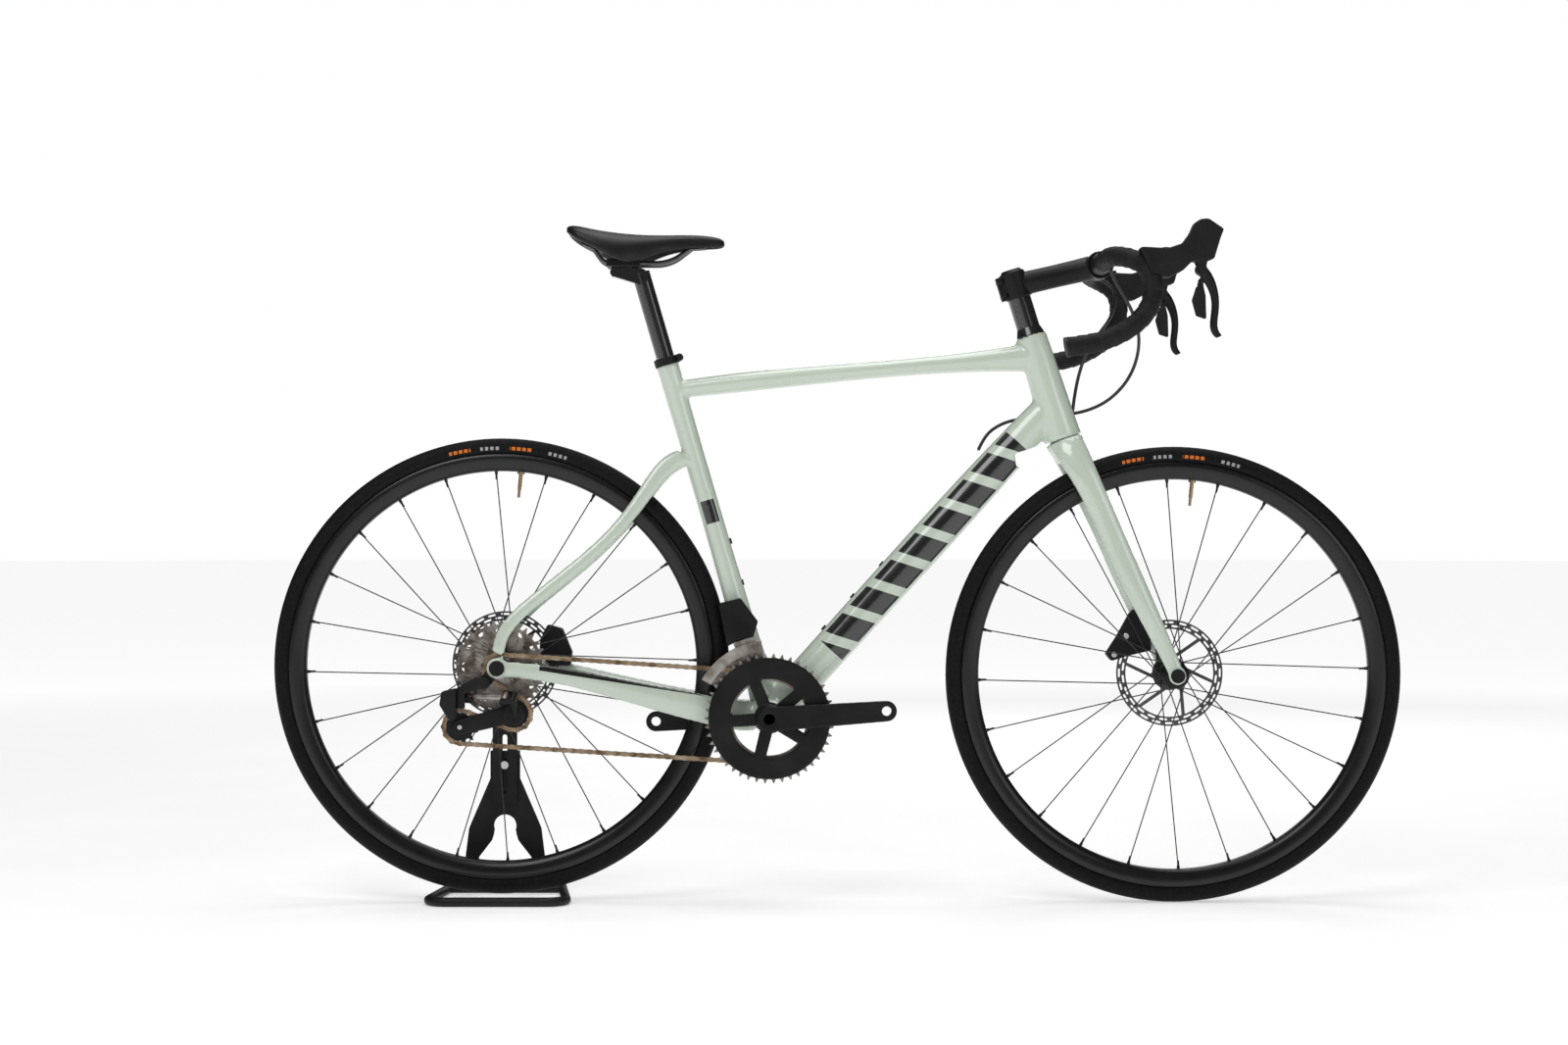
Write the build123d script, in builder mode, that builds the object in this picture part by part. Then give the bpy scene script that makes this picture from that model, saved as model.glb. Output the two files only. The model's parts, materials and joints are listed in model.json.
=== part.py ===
from build123d import *
import os
from math import asin, atan2, ceil, cos, degrees, hypot, pi, radians, sin, tan

# Road bicycle held by its rear axle on a low steel display stand, in millimetres.
# +X is forwards, +Y is the rider's left and +Z is up; the drive side faces -Y. The origin is on the
# floor, midway between the two wheels. A point in the bicycle's mid-plane is a pair (x, z).

os.makedirs("parts", exist_ok=True)

# ---- Driving dimensions ----
wheelbase = 1000.0
rear_wheel_lift = 12.3
running_clearance = 0.05
body_gap = 0.4

tyre_radius = 339.0
tyre_width = 28.0
tyre_wall = 2.6
rim_outer_radius = 315.5
rim_depth = 25.5
rim_width = 27.0
rim_channel_width = 21.0
rim_channel_depth = 7.0
spoke_count = 24
spoke_radius = 0.9
spoke_cross_angle = 60.0
rotor_radius = 80.0
rotor_thickness = 1.8
front_hub_width = 100.0
rear_hub_width = 142.0
thru_axle_radius = 6.0

chainstay_length = 406.0
bottom_bracket_drop = 75.0
bb_shell_radius = 24.0
bb_shell_width = 68.0
spindle_radius = 14.5
seat_tube_angle = 73.81
seat_tube_length = 556.0
seatpost_radius = 13.6
seatpost_insertion = 130.0
seatpost_exposed = 132.0
head_angle = 72.7
fork_length = 383.7
fork_offset = 52.0
head_tube_length = 161.7
head_tube_bottom_radius = 28.3
head_tube_top_radius = 23.0
steerer_radius = 14.3
dropout_thickness = 7.0
spacer_stack = 45.3

stem_length = 127.6
stem_drop_angle = 4.2
stem_clamp_height = 40.0
bar_clamp_radius = 15.9
bar_radius = 12.0
bar_half_width = 210.0
tape_thickness = 2.5
hose_radius = 2.5

crank_length = 172.5
crank_angle = 4.0
crank_inner_y = 60.0
crank_thickness = 13.0
pedal_hole_radius = 7.14
chain_pitch = 12.7
chain_roller_radius = 3.7
outer_ring_teeth = 46
inner_ring_teeth = 33
inner_ring_y = -41.0
outer_ring_y = -49.0
pulley_teeth = 12
cassette_teeth = (10, 11, 12, 13, 14, 15, 17, 19, 21, 24, 28, 33)
cassette_first_y = -66.3
cassette_spacing = 3.6

stand_y = 90.0
stand_plate_thickness = 5.0
stand_post_width = 37.0
stand_slot_width = 7.4
stand_rod_radius = 7.0
stand_bolt_height = 197.0
stand_base_half_width = 105.0

# ---- Main points of the frame ----
rear_axle = (-wheelbase / 2, tyre_radius + rear_wheel_lift)
front_axle = (wheelbase / 2, tyre_radius)
bottom_bracket = (rear_axle[0] + (chainstay_length**2 - bottom_bracket_drop**2) ** 0.5,
                  rear_axle[1] - bottom_bracket_drop)
steer_up = (-cos(radians(head_angle)), sin(radians(head_angle)))
steer_forward = (steer_up[1], -steer_up[0])
seat_up = (-cos(radians(seat_tube_angle)), sin(radians(seat_tube_angle)))
seat_forward = (seat_up[1], -seat_up[0])


def shifted(point, x=0.0, z=0.0):
    """A mid-plane point moved by an offset."""
    return (point[0] + x, point[1] + z)


def along(point, direction, distance, side=0.0):
    """A mid-plane point moved along a direction, and across it towards its right-hand side."""
    return (point[0] + direction[0] * distance + direction[1] * side,
            point[1] + direction[1] * distance - direction[0] * side)


def between(start, end, fraction, bulge=0.0):
    """A point part of the way along a line, with an offset across the line."""
    run = (end[0] - start[0], end[1] - start[1])
    length = hypot(*run)
    return along(start, (run[0] / length, run[1] / length), length * fraction, bulge)


def toward(angle, length=1.0):
    """A mid-plane vector at an angle above the forward direction."""
    return (length * cos(radians(angle)), length * sin(radians(angle)))


crown = along(along(front_axle, steer_up, fork_length), steer_forward, -fork_offset)


def on_steerer(height, forward=0.0):
    """A point measured up the steering axis from the fork crown, and forward of it."""
    return along(crown, steer_up, height, forward)


def on_seat_tube(height, forward=0.0):
    """A point measured up the seat tube from the bottom bracket, and forward of its axis."""
    return along(bottom_bracket, seat_up, height, forward)


# ---- Shape helpers; each adds to the sub-part that is being built ----
def side_plane(y):
    """A plane parallel to the bicycle's mid-plane that faces the drive side."""
    return Plane(origin=(0, y, 0), x_dir=(1, 0, 0), z_dir=(0, -1, 0))


def disc(centre, y_low, y_high, outer, inner=0.0, mode=Mode.ADD):
    """A round plate or ring about a cross-wise axis."""
    with BuildSketch(side_plane(y_high)) as profile:
        with Locations(centre):
            Circle(outer)
            if inner:
                Circle(inner, mode=Mode.SUBTRACT)
    extrude(profile.sketch, amount=y_high - y_low, mode=mode)


def plate(outline, y_low, y_high, corner=0.0, mode=Mode.ADD):
    """A flat plate in the mid-plane's direction, from its outline."""
    with BuildSketch(side_plane(y_high)) as profile:
        with BuildLine():
            Polyline(*outline, close=True)
        make_face()
        if corner:
            fillet(profile.vertices(), corner)
    extrude(profile.sketch, amount=y_high - y_low, mode=mode)


def strap(start, end, start_radius, end_radius, y_low, y_high, mode=Mode.ADD):
    """A flat link with two round ends."""
    with BuildSketch(side_plane(y_high)) as profile:
        with Locations(start):
            Circle(start_radius)
        with Locations(end):
            Circle(end_radius)
        make_hull()
    extrude(profile.sketch, amount=y_high - y_low, mode=mode)


def turned(centre, outline, mode=Mode.ADD):
    """A solid of revolution about a cross-wise axle, from pairs (radius, y)."""
    with BuildSketch(Plane(origin=(centre[0], 0, centre[1]), x_dir=(1, 0, 0), z_dir=(0, 0, 1))) as profile:
        with BuildLine():
            Polyline(*outline, close=True)
        make_face()
    revolve(profile.sketch, Axis((centre[0], 0, centre[1]), (0, 1, 0)), mode=mode)


def stage(base, direction, low, high, radius, end_radius=None, mode=Mode.ADD):
    """A round or tapered length of tube in the mid-plane, between two heights up its axis."""
    faces = []
    for height, r in ((low, radius), (high, end_radius or radius)):
        x, z = along(base, direction, height)
        plane = Plane(origin=(x, 0, z), x_dir=(0, 1, 0), z_dir=(direction[0], 0, direction[1]))
        with BuildSketch(plane) as end:
            Circle(r)
        faces.append(end.sketch)
    loft(faces, mode=mode)


def limb(*stations, mode=Mode.ADD):
    """A tube of oval sections through stations (point, y, width, depth)."""
    centres = [Vector(point[0], y, point[1]) for point, y, _, _ in stations]
    faces = []
    for i, (_, _, width, depth) in enumerate(stations):
        run = centres[min(i + 1, len(centres) - 1)] - centres[max(i - 1, 0)]
        with BuildSketch(Plane(origin=centres[i], x_dir=(0, 1, 0), z_dir=run)) as section:
            Ellipse(width / 2, depth / 2)
        faces.append(section.sketch)
    loft(faces, mode=mode)


def bend_radii(points):
    """The largest smooth radius for each corner of a route."""
    radii = []
    for before, corner, after in zip(points, points[1:], points[2:]):
        run_in, run_out = Vector(corner) - Vector(before), Vector(after) - Vector(corner)
        half_turn = radians(run_in.get_angle(run_out)) / 2
        radii.append(0.45 * min(run_in.length, run_out.length) / tan(half_turn))
    return radii


def rod(points, radius, inner=0.0, mode=Mode.ADD):
    """A round bar, tube or hose along a smooth route."""
    with BuildLine() as route:
        if len(points) > 2:
            FilletPolyline(*points, radius=bend_radii(points))
        else:
            Line(*points)
    with BuildSketch(Plane(origin=route.line @ 0, z_dir=route.line % 0)) as section:
        Circle(radius)
        if inner:
            Circle(inner, mode=Mode.SUBTRACT)
    sweep(section.sketch, path=route.line, mode=mode)


def mirrored(points):
    """The same route on the other side of the bicycle."""
    return [(x, -y, z) for x, y, z in points]


def save(builder, name):
    """Labels a finished sub-part and writes it."""
    builder.part.label = name
    export_step(builder.part, f"parts/{name}.step")


# ---- Display stand: looped base, forked plate, slotted post and its bolt ----
stand_setback = 3.5
stand_x = rear_axle[0] - stand_setback
base_front_y, base_back_y = -59.0, 179.0
base_back_half_width = stand_base_half_width * 0.74
leg_y = (stand_y - stand_plate_thickness / 2, stand_y + stand_plate_thickness / 2)
post_y = (leg_y[0] - body_gap - stand_plate_thickness, leg_y[0] - body_gap)

with BuildPart() as stand_base:
    half_loop = [
        (stand_x, base_front_y, stand_rod_radius),
        (stand_x + stand_base_half_width, base_front_y, stand_rod_radius),
        (stand_x + base_back_half_width, base_back_y, stand_rod_radius),
        (stand_x, base_back_y, stand_rod_radius),
    ]
    for side in (1, -1):
        points = [(stand_x + side * (x - stand_x), y, z) for x, y, z in half_loop]
        with BuildLine() as route:
            FilletPolyline(*points, radius=28.0)
        with BuildSketch(Plane(origin=route.line @ 0, z_dir=route.line % 0)) as section:
            Circle(stand_rod_radius)
        sweep(section.sketch, path=route.line)
    cross_half = stand_base_half_width * 0.82
    rod([(stand_x - cross_half, stand_y, stand_rod_radius),
         (stand_x + cross_half, stand_y, stand_rod_radius)],
        stand_rod_radius * 0.8)
save(stand_base, "stand_base")

leg_foot = stand_rod_radius * 1.8
arch_half = 17.0
half_plate = [(22.5, 218), (22.5, 176), (51, 110), (55, 100), (60, 60), (62, leg_foot),
              (40, leg_foot), (40, 56), (20, 82), (arch_half, 92)]
with BuildPart() as stand_upright:
    half = [(stand_x + x, z) for x, z in half_plate]
    other = [(stand_x - x, z) for x, z in reversed(half_plate)]
    plate(half + other, *leg_y)
    disc((stand_x, 92), leg_y[0] - 1, leg_y[1] + 1, arch_half, mode=Mode.SUBTRACT)
    disc((stand_x, 104), leg_y[0] - 1, leg_y[1] + 1, arch_half, mode=Mode.SUBTRACT)
    disc((stand_x, stand_bolt_height), leg_y[0] - 1, leg_y[1] + 1, stand_slot_width / 2, mode=Mode.SUBTRACT)
    for side in (1, -1):
        plate([(stand_x + side * 40, leg_foot), (stand_x + side * 62, leg_foot),
               (stand_x + side * 62, stand_rod_radius), (stand_x + side * 40, stand_rod_radius)],
              leg_y[0] + 0.4 * stand_plate_thickness, leg_y[1] + stand_rod_radius)
    plate([(stand_x - 62, 0.2), (stand_x + 62, 0.2), (stand_x + 62, leg_foot), (stand_x - 62, leg_foot)],
          leg_y[0] - 6, leg_y[1] + 12, mode=Mode.SUBTRACT)
save(stand_upright, "stand_upright")

slot_low, slot_high = stand_bolt_height - 44.0, stand_bolt_height + 46.0
with BuildPart() as stand_post:
    top = shifted(rear_axle, -stand_setback)
    with BuildSketch(side_plane(post_y[1])) as profile:
        with BuildLine():
            Polyline((stand_x - stand_post_width / 2, slot_low - 14),
                     (stand_x + stand_post_width / 2, slot_low - 14),
                     (stand_x + stand_post_width / 2, rear_axle[1]),
                     (stand_x - stand_post_width / 2, rear_axle[1]),
                     close=True)
        make_face()
        with Locations(top):
            Circle(stand_post_width / 2)
        with Locations((stand_x, (slot_low + slot_high) / 2)):
            SlotOverall(slot_high - slot_low, stand_slot_width, rotation=90, mode=Mode.SUBTRACT)
    extrude(profile.sketch, amount=post_y[1] - post_y[0])
    pin_radius = thru_axle_radius / 2
    dropout_outer = rear_hub_width / 2 + dropout_thickness
    disc(rear_axle, dropout_outer - 14, post_y[0], pin_radius)
    disc(rear_axle, dropout_outer + body_gap, post_y[0], 11.0)
save(stand_post, "stand_post")

with BuildPart() as stand_bolt:
    bolt_centre = (stand_x, stand_bolt_height)
    disc(bolt_centre, post_y[0] - body_gap - 4, post_y[0] - body_gap, 6.0)
    disc(bolt_centre, post_y[0] - body_gap, leg_y[1] + 6, stand_slot_width / 2 - 0.7)
    disc(bolt_centre, leg_y[1], leg_y[1] + 5, 7.0)
save(stand_bolt, "stand_bolt")

# ---- Wheels: tyre, rim, spokes, hub and brake rotor, made twice ----
rim_inner_radius = rim_outer_radius - rim_depth
tyre_centre_radius = tyre_radius - tyre_width / 2
front_rotor_y = front_hub_width / 2 - 10.5
rear_rotor_y = rear_hub_width / 2 - 15.5
hub_gap = 0.3
wheels = {
    "front": (front_axle, front_hub_width / 2 - hub_gap, (-35.0, 20.0), (25.0, 20.0), front_rotor_y),
    "rear": (rear_axle, rear_hub_width / 2 - hub_gap, (-17.0, 24.0), (34.0, 20.0), rear_rotor_y),
}

for end, (axle, hub_end, right_flange, left_flange, rotor_y) in wheels.items():
    with BuildPart() as tyre:
        with BuildSketch(Plane(origin=(axle[0], 0, axle[1]), x_dir=(1, 0, 0), z_dir=(0, 0, 1))) as profile:
            bead_low = rim_outer_radius - rim_channel_depth + 0.5
            bead_outer = rim_channel_width / 2 - 0.1
            with Locations((tyre_centre_radius, 0)):
                Circle(tyre_width / 2)
            with Locations(((bead_low + tyre_centre_radius) / 2, 0)):
                Rectangle(tyre_centre_radius - bead_low, 2 * bead_outer)
            with Locations((tyre_centre_radius, 0)):
                Circle(tyre_width / 2 - tyre_wall, mode=Mode.SUBTRACT)
            with Locations(((bead_low + tyre_centre_radius) / 2, 0)):
                Rectangle(tyre_centre_radius - bead_low + 2, 2 * (bead_outer - tyre_wall),
                          mode=Mode.SUBTRACT)
        revolve(profile.sketch, Axis((axle[0], 0, axle[1]), (0, 1, 0)))
    save(tyre, f"{end}_tyre")

    with BuildPart() as rim:
        half = rim_width / 2
        well = rim_channel_width / 2
        turned(axle, [(rim_inner_radius, -6), (rim_inner_radius + 10, -half + 1), (rim_outer_radius, -half),
                      (rim_outer_radius, -well), (rim_outer_radius - rim_channel_depth, -well),
                      (rim_outer_radius - rim_channel_depth, well), (rim_outer_radius, well),
                      (rim_outer_radius, half), (rim_inner_radius + 10, half - 1), (rim_inner_radius, 6)])
    save(rim, f"{end}_rim")

    with BuildPart() as spokes:
        for i in range(spoke_count):
            flange_y, flange_radius = right_flange if i % 2 else left_flange
            lean = 1 if (i // 2) % 2 else -1
            rim_angle = 91.7 + i * 360 / spoke_count
            start = toward(rim_angle + lean * spoke_cross_angle, flange_radius - 1.5)
            finish = toward(rim_angle, rim_inner_radius + 1)
            hub_point = Vector(axle[0] + start[0], flange_y + lean * 1.5, axle[1] + start[1])
            rim_point = Vector(axle[0] + finish[0], 3 if flange_y > 0 else -3, axle[1] + finish[1])
            with BuildSketch(Plane(origin=hub_point, z_dir=rim_point - hub_point)) as section:
                Circle(spoke_radius)
            extrude(section.sketch, amount=(rim_point - hub_point).length)
    save(spokes, f"{end}_spokes")

    with BuildPart() as hub:
        bore = thru_axle_radius + running_clearance
        seat = rotor_y - rotor_thickness / 2
        barrel = 12.5
        if end == "front":
            drive_end = [(bore, -hub_end), (10.5, -hub_end), (10.5, -hub_end + 7), (15, -hub_end + 9)]
        else:
            drive_end = [(bore, -hub_end), (9.5, -hub_end), (9.5, -21), (17, -20.6)]
        turned(axle, drive_end + [
            (right_flange[1], right_flange[0] - 1.5), (right_flange[1], right_flange[0] + 1.5),
            (barrel + 2, right_flange[0] + 5), (barrel, 5), (barrel + 2, left_flange[0] - 5),
            (left_flange[1], left_flange[0] - 1.5), (left_flange[1], left_flange[0] + 1.5),
            (18.5, left_flange[0] + 4), (18.5, seat), (16.5, seat), (16.5, seat + rotor_thickness),
            (19.5, seat + rotor_thickness), (19.5, seat + rotor_thickness + 2.5),
            (10.5, seat + rotor_thickness + 2.5), (10.5, hub_end), (bore, hub_end)])
    save(hub, f"{end}_hub")

    with BuildPart() as rotor:
        with BuildSketch(side_plane(rotor_y + rotor_thickness / 2)) as profile:
            with Locations(axle):
                Circle(rotor_radius)
                Circle(rotor_radius - 14, mode=Mode.SUBTRACT)
                Circle(26)
                for arm in range(6):
                    root = toward(arm * 60 + 20, 22)
                    tip = toward(arm * 60 - 12, rotor_radius - 12)
                    with Locations(((root[0] + tip[0]) / 2, (root[1] + tip[1]) / 2)):
                        Rectangle(hypot(tip[0] - root[0], tip[1] - root[1]), 5,
                                  rotation=degrees(atan2(tip[1] - root[1], tip[0] - root[0])))
                Circle(16.5, mode=Mode.SUBTRACT)
                with PolarLocations(rotor_radius - 4.2, 24):
                    SlotOverall(13, 3, rotation=90, mode=Mode.SUBTRACT)
                with PolarLocations(rotor_radius - 9.8, 24, start_angle=7.5):
                    SlotOverall(12, 3, rotation=90, mode=Mode.SUBTRACT)
        extrude(profile.sketch, amount=rotor_thickness)
    save(rotor, f"{end}_rotor")

# ---- Chain drive: the chain's loop over ring, cog and pulleys sets where every tooth lies ----
def pitch_radius(teeth):
    return chain_pitch / (2 * sin(pi / teeth))


def chain_course(tension_angle):
    """Arcs and runs of the chain: wheels in travel order, with the pulley cage at an angle."""
    guide = shifted(rear_axle, 25.0, -66.5)
    tension = shifted(guide, *toward(tension_angle, pulley_spacing))
    wheels = [(rear_axle, cassette_teeth[0], 1, cassette_first_y),
              (bottom_bracket, inner_ring_teeth, 1, inner_ring_y),
              (tension, pulley_teeth, 1, cassette_first_y),
              (guide, pulley_teeth, -1, cassette_first_y)]
    runs = []
    for first, second in zip(wheels, wheels[1:] + wheels[:1]):
        (a, teeth_a, turn_a, y_a), (b, teeth_b, turn_b, y_b) = first, second
        r_a, r_b = pitch_radius(teeth_a) * turn_a, pitch_radius(teeth_b) * turn_b
        span = (b[0] - a[0], b[1] - a[1])
        heading = atan2(span[1], span[0]) + asin((r_b - r_a) / hypot(*span))
        normal = (sin(heading), -cos(heading))
        leave = (a[0] - r_a * normal[0], a[1] - r_a * normal[1])
        arrive = (b[0] - r_b * normal[0], b[1] - r_b * normal[1])
        runs.append((leave, arrive, y_a, y_b))
    arcs = []
    for i, (centre, teeth, turn, y) in enumerate(wheels):
        arrive, leave = runs[i - 1][1], runs[i][0]
        start = degrees(atan2(arrive[1] - centre[1], arrive[0] - centre[0]))
        end = degrees(atan2(leave[1] - centre[1], leave[0] - centre[0]))
        arcs.append((centre, teeth, turn, y, start, -turn * ((turn * (start - end)) % 360)))
    links = sum(abs(arc[5]) * arc[1] / 360 for arc in arcs)
    links += sum(hypot(b[0] - a[0], b[1] - a[1]) / chain_pitch for a, b, _, _ in runs)
    return arcs, runs, links


pulley_spacing = 82.0
cage_low, cage_high = 186.0, 206.0
link_count = 2 * round(chain_course(196.0)[2] / 2)
rising = chain_course(cage_low)[2] < chain_course(cage_high)[2]
for _ in range(40):
    cage_angle = (cage_low + cage_high) / 2
    chain_arcs, chain_runs, links = chain_course(cage_angle)
    if rising == (links < link_count):
        cage_low = cage_angle
    else:
        cage_high = cage_angle
print("chain links", link_count, "course", round(links, 3), "cage angle", round(cage_angle, 2))

straight_lead = 22.0
roller_places = []
tooth_phase = []
place = 0.0
for arc, (leave, arrive, y_from, y_to) in zip(chain_arcs, chain_runs):
    centre, teeth, turn, y, start, sweep_angle = arc
    step = 360 / teeth
    count = abs(sweep_angle) / step
    first = ceil(place) - place
    tooth_phase.append(start - turn * (first + 0.5) * step)
    for k in range(int(count - first) + 1 if count > first else 0):
        x, z = toward(start - turn * (first + k) * step, pitch_radius(teeth))
        roller_places.append((centre[0] + x, y, centre[1] + z))
    place += count
    length = hypot(arrive[0] - leave[0], arrive[1] - leave[1])
    count = length / chain_pitch
    first = ceil(place) - place
    for k in range(int(count - first) + 1 if count > first else 0):
        share = (first + k) * chain_pitch / length
        slant = 0
        if y_from != y_to:
            slant = min(max((share * length - straight_lead) / (length - 2 * straight_lead), 0), 1)
        roller_places.append((leave[0] + (arrive[0] - leave[0]) * share, y_from + (y_to - y_from) * slant,
                              leave[1] + (arrive[1] - leave[1]) * share))
    place += count
guide_pulley, tension_pulley = chain_arcs[3][0], chain_arcs[2][0]

link_half_height = 4.0
plate_inner, plate_outer = 1.3, 2.7
with BuildPart() as chain:
    for centre, teeth, turn, y, start, sweep_angle in chain_arcs:
        for y_high in (y + plate_outer, y - plate_inner):
            with BuildSketch(side_plane(y_high)) as profile:
                with BuildLine():
                    near = CenterArc(centre, pitch_radius(teeth) - link_half_height, start, sweep_angle)
                    far = CenterArc(centre, pitch_radius(teeth) + link_half_height, start, sweep_angle)
                    Line(near @ 0, far @ 0)
                    Line(near @ 1, far @ 1)
                make_face()
            extrude(profile.sketch, amount=plate_outer - plate_inner)
    for leave, arrive, y_from, y_to in chain_runs:
        span = hypot(arrive[0] - leave[0], arrive[1] - leave[1])
        lead = 0.0 if y_from == y_to else straight_lead / span
        shares = [0.0, lead, 1 - lead, 1.0]
        stops = [Vector(leave[0] + (arrive[0] - leave[0]) * t, y, leave[1] + (arrive[1] - leave[1]) * t)
                 for t, y in zip(shares, (y_from, y_from, y_to, y_to))]
        for first, second in zip(stops, stops[1:]):
            run = second - first
            if run.length < 0.01:
                continue
            with BuildSketch(Plane(origin=first, x_dir=(0, 1, 0), z_dir=run)) as section:
                with Locations(((plate_inner + plate_outer) / 2, 0), (-(plate_inner + plate_outer) / 2, 0)):
                    Rectangle(plate_outer - plate_inner, 2 * link_half_height)
            extrude(section.sketch, amount=run.length)
    for x, y, z in roller_places:
        disc((x, z), y - plate_inner - 0.4, y + plate_inner + 0.4, chain_roller_radius)
save(chain, "chain")


def toothed_disc(centre, teeth, phase, y_middle, inner=0.0, thickness=1.8):
    """A sprocket whose gaps take the chain's rollers."""
    root = pitch_radius(teeth) - chain_roller_radius - 0.25
    tip = pitch_radius(teeth) + 2.6
    outline = []
    for k in range(teeth):
        angle = phase + k * 360 / teeth
        for radius, half in ((root, -3.4), (tip, -0.8), (tip, 0.8), (root, 3.4)):
            x, z = toward(angle + degrees(half / radius), radius)
            outline.append((centre[0] + x, centre[1] + z))
    plate(outline, y_middle - thickness / 2, y_middle + thickness / 2)
    if inner:
        disc(centre, y_middle - thickness, y_middle + thickness, inner, mode=Mode.SUBTRACT)


with BuildPart() as cassette:
    carrier_radius = 13.5
    cog_thickness = 1.8
    last_y = cassette_first_y + cassette_spacing * (len(cassette_teeth) - 1)
    for k, teeth in enumerate(cassette_teeth):
        toothed_disc(rear_axle, teeth, tooth_phase[0] if k == 0 else k * 5.0,
                     cassette_first_y + cassette_spacing * k)
    for k, teeth in enumerate(cassette_teeth[:-1]):
        low = cassette_first_y + cassette_spacing * k
        disc(rear_axle, low, low + cassette_spacing, max(pitch_radius(teeth) - 8.5, carrier_radius))
    disc(rear_axle, cassette_first_y - 2, last_y + 2, carrier_radius - 1.5, mode=Mode.SUBTRACT)
    windows = pitch_radius(cassette_teeth[-1]) - 24
    with BuildSketch(side_plane(last_y + cog_thickness)) as profile:
        with Locations(rear_axle):
            with PolarLocations(windows + 8, 12):
                Circle(7)
    extrude(profile.sketch, amount=2 * cog_thickness, mode=Mode.SUBTRACT)
save(cassette, "cassette")

with BuildPart() as freehub_body:
    disc(rear_axle, cassette_first_y - 1.5, -21.5, carrier_radius - 1.5, 9.5 + running_clearance)
save(freehub_body, "freehub_body")

with BuildPart() as chainring_inner:
    toothed_disc(bottom_bracket, inner_ring_teeth, tooth_phase[1], inner_ring_y, inner=55.0)
save(chainring_inner, "chainring_inner")

with BuildPart() as chainring_outer:
    toothed_disc(bottom_bracket, outer_ring_teeth, 0.0, outer_ring_y, inner=67.0)
save(chainring_outer, "chainring_outer")

# ---- Cranks ----
right_pedal = shifted(bottom_bracket, *toward(crank_angle, crank_length))
left_pedal = shifted(bottom_bracket, *toward(crank_angle + 180, crank_length))
crank_boss = 43.0
spider_outer_y = outer_ring_y - 0.9

with BuildPart() as crank_right:
    strap(bottom_bracket, right_pedal, 18.0, 15.0, -crank_inner_y - crank_thickness, -crank_inner_y)
    disc(bottom_bracket, -crank_inner_y, -crank_boss, 21.0)
    disc(bottom_bracket, spider_outer_y - 3, spider_outer_y, 90.0, 58.0)
    for k in range(5):
        tip = shifted(bottom_bracket, *toward(crank_angle + 36 + k * 72, 62.0))
        strap(bottom_bracket, tip, 10.0, 9.0, spider_outer_y - 3, spider_outer_y)
        place = shifted(bottom_bracket, *toward(crank_angle + 36 + k * 72, 57.5))
        disc(place, spider_outer_y, inner_ring_y - 0.9, 4.0)
    disc(bottom_bracket, -crank_boss, crank_inner_y + 6, spindle_radius)
    disc(bottom_bracket, -crank_inner_y - crank_thickness, crank_inner_y + 6, 8.0, mode=Mode.SUBTRACT)
    disc(right_pedal, -crank_inner_y - crank_thickness, -crank_inner_y, pedal_hole_radius,
         mode=Mode.SUBTRACT)
save(crank_right, "crank_right")

with BuildPart() as crank_left:
    strap(bottom_bracket, left_pedal, 18.0, 15.0, crank_inner_y, crank_inner_y + crank_thickness)
    disc(bottom_bracket, crank_boss, crank_inner_y, 18.0)
    disc(bottom_bracket, crank_boss, crank_inner_y + 6, spindle_radius, mode=Mode.SUBTRACT)
    disc(left_pedal, crank_inner_y, crank_inner_y + crank_thickness, pedal_hole_radius, mode=Mode.SUBTRACT)
save(crank_left, "crank_left")

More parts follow.
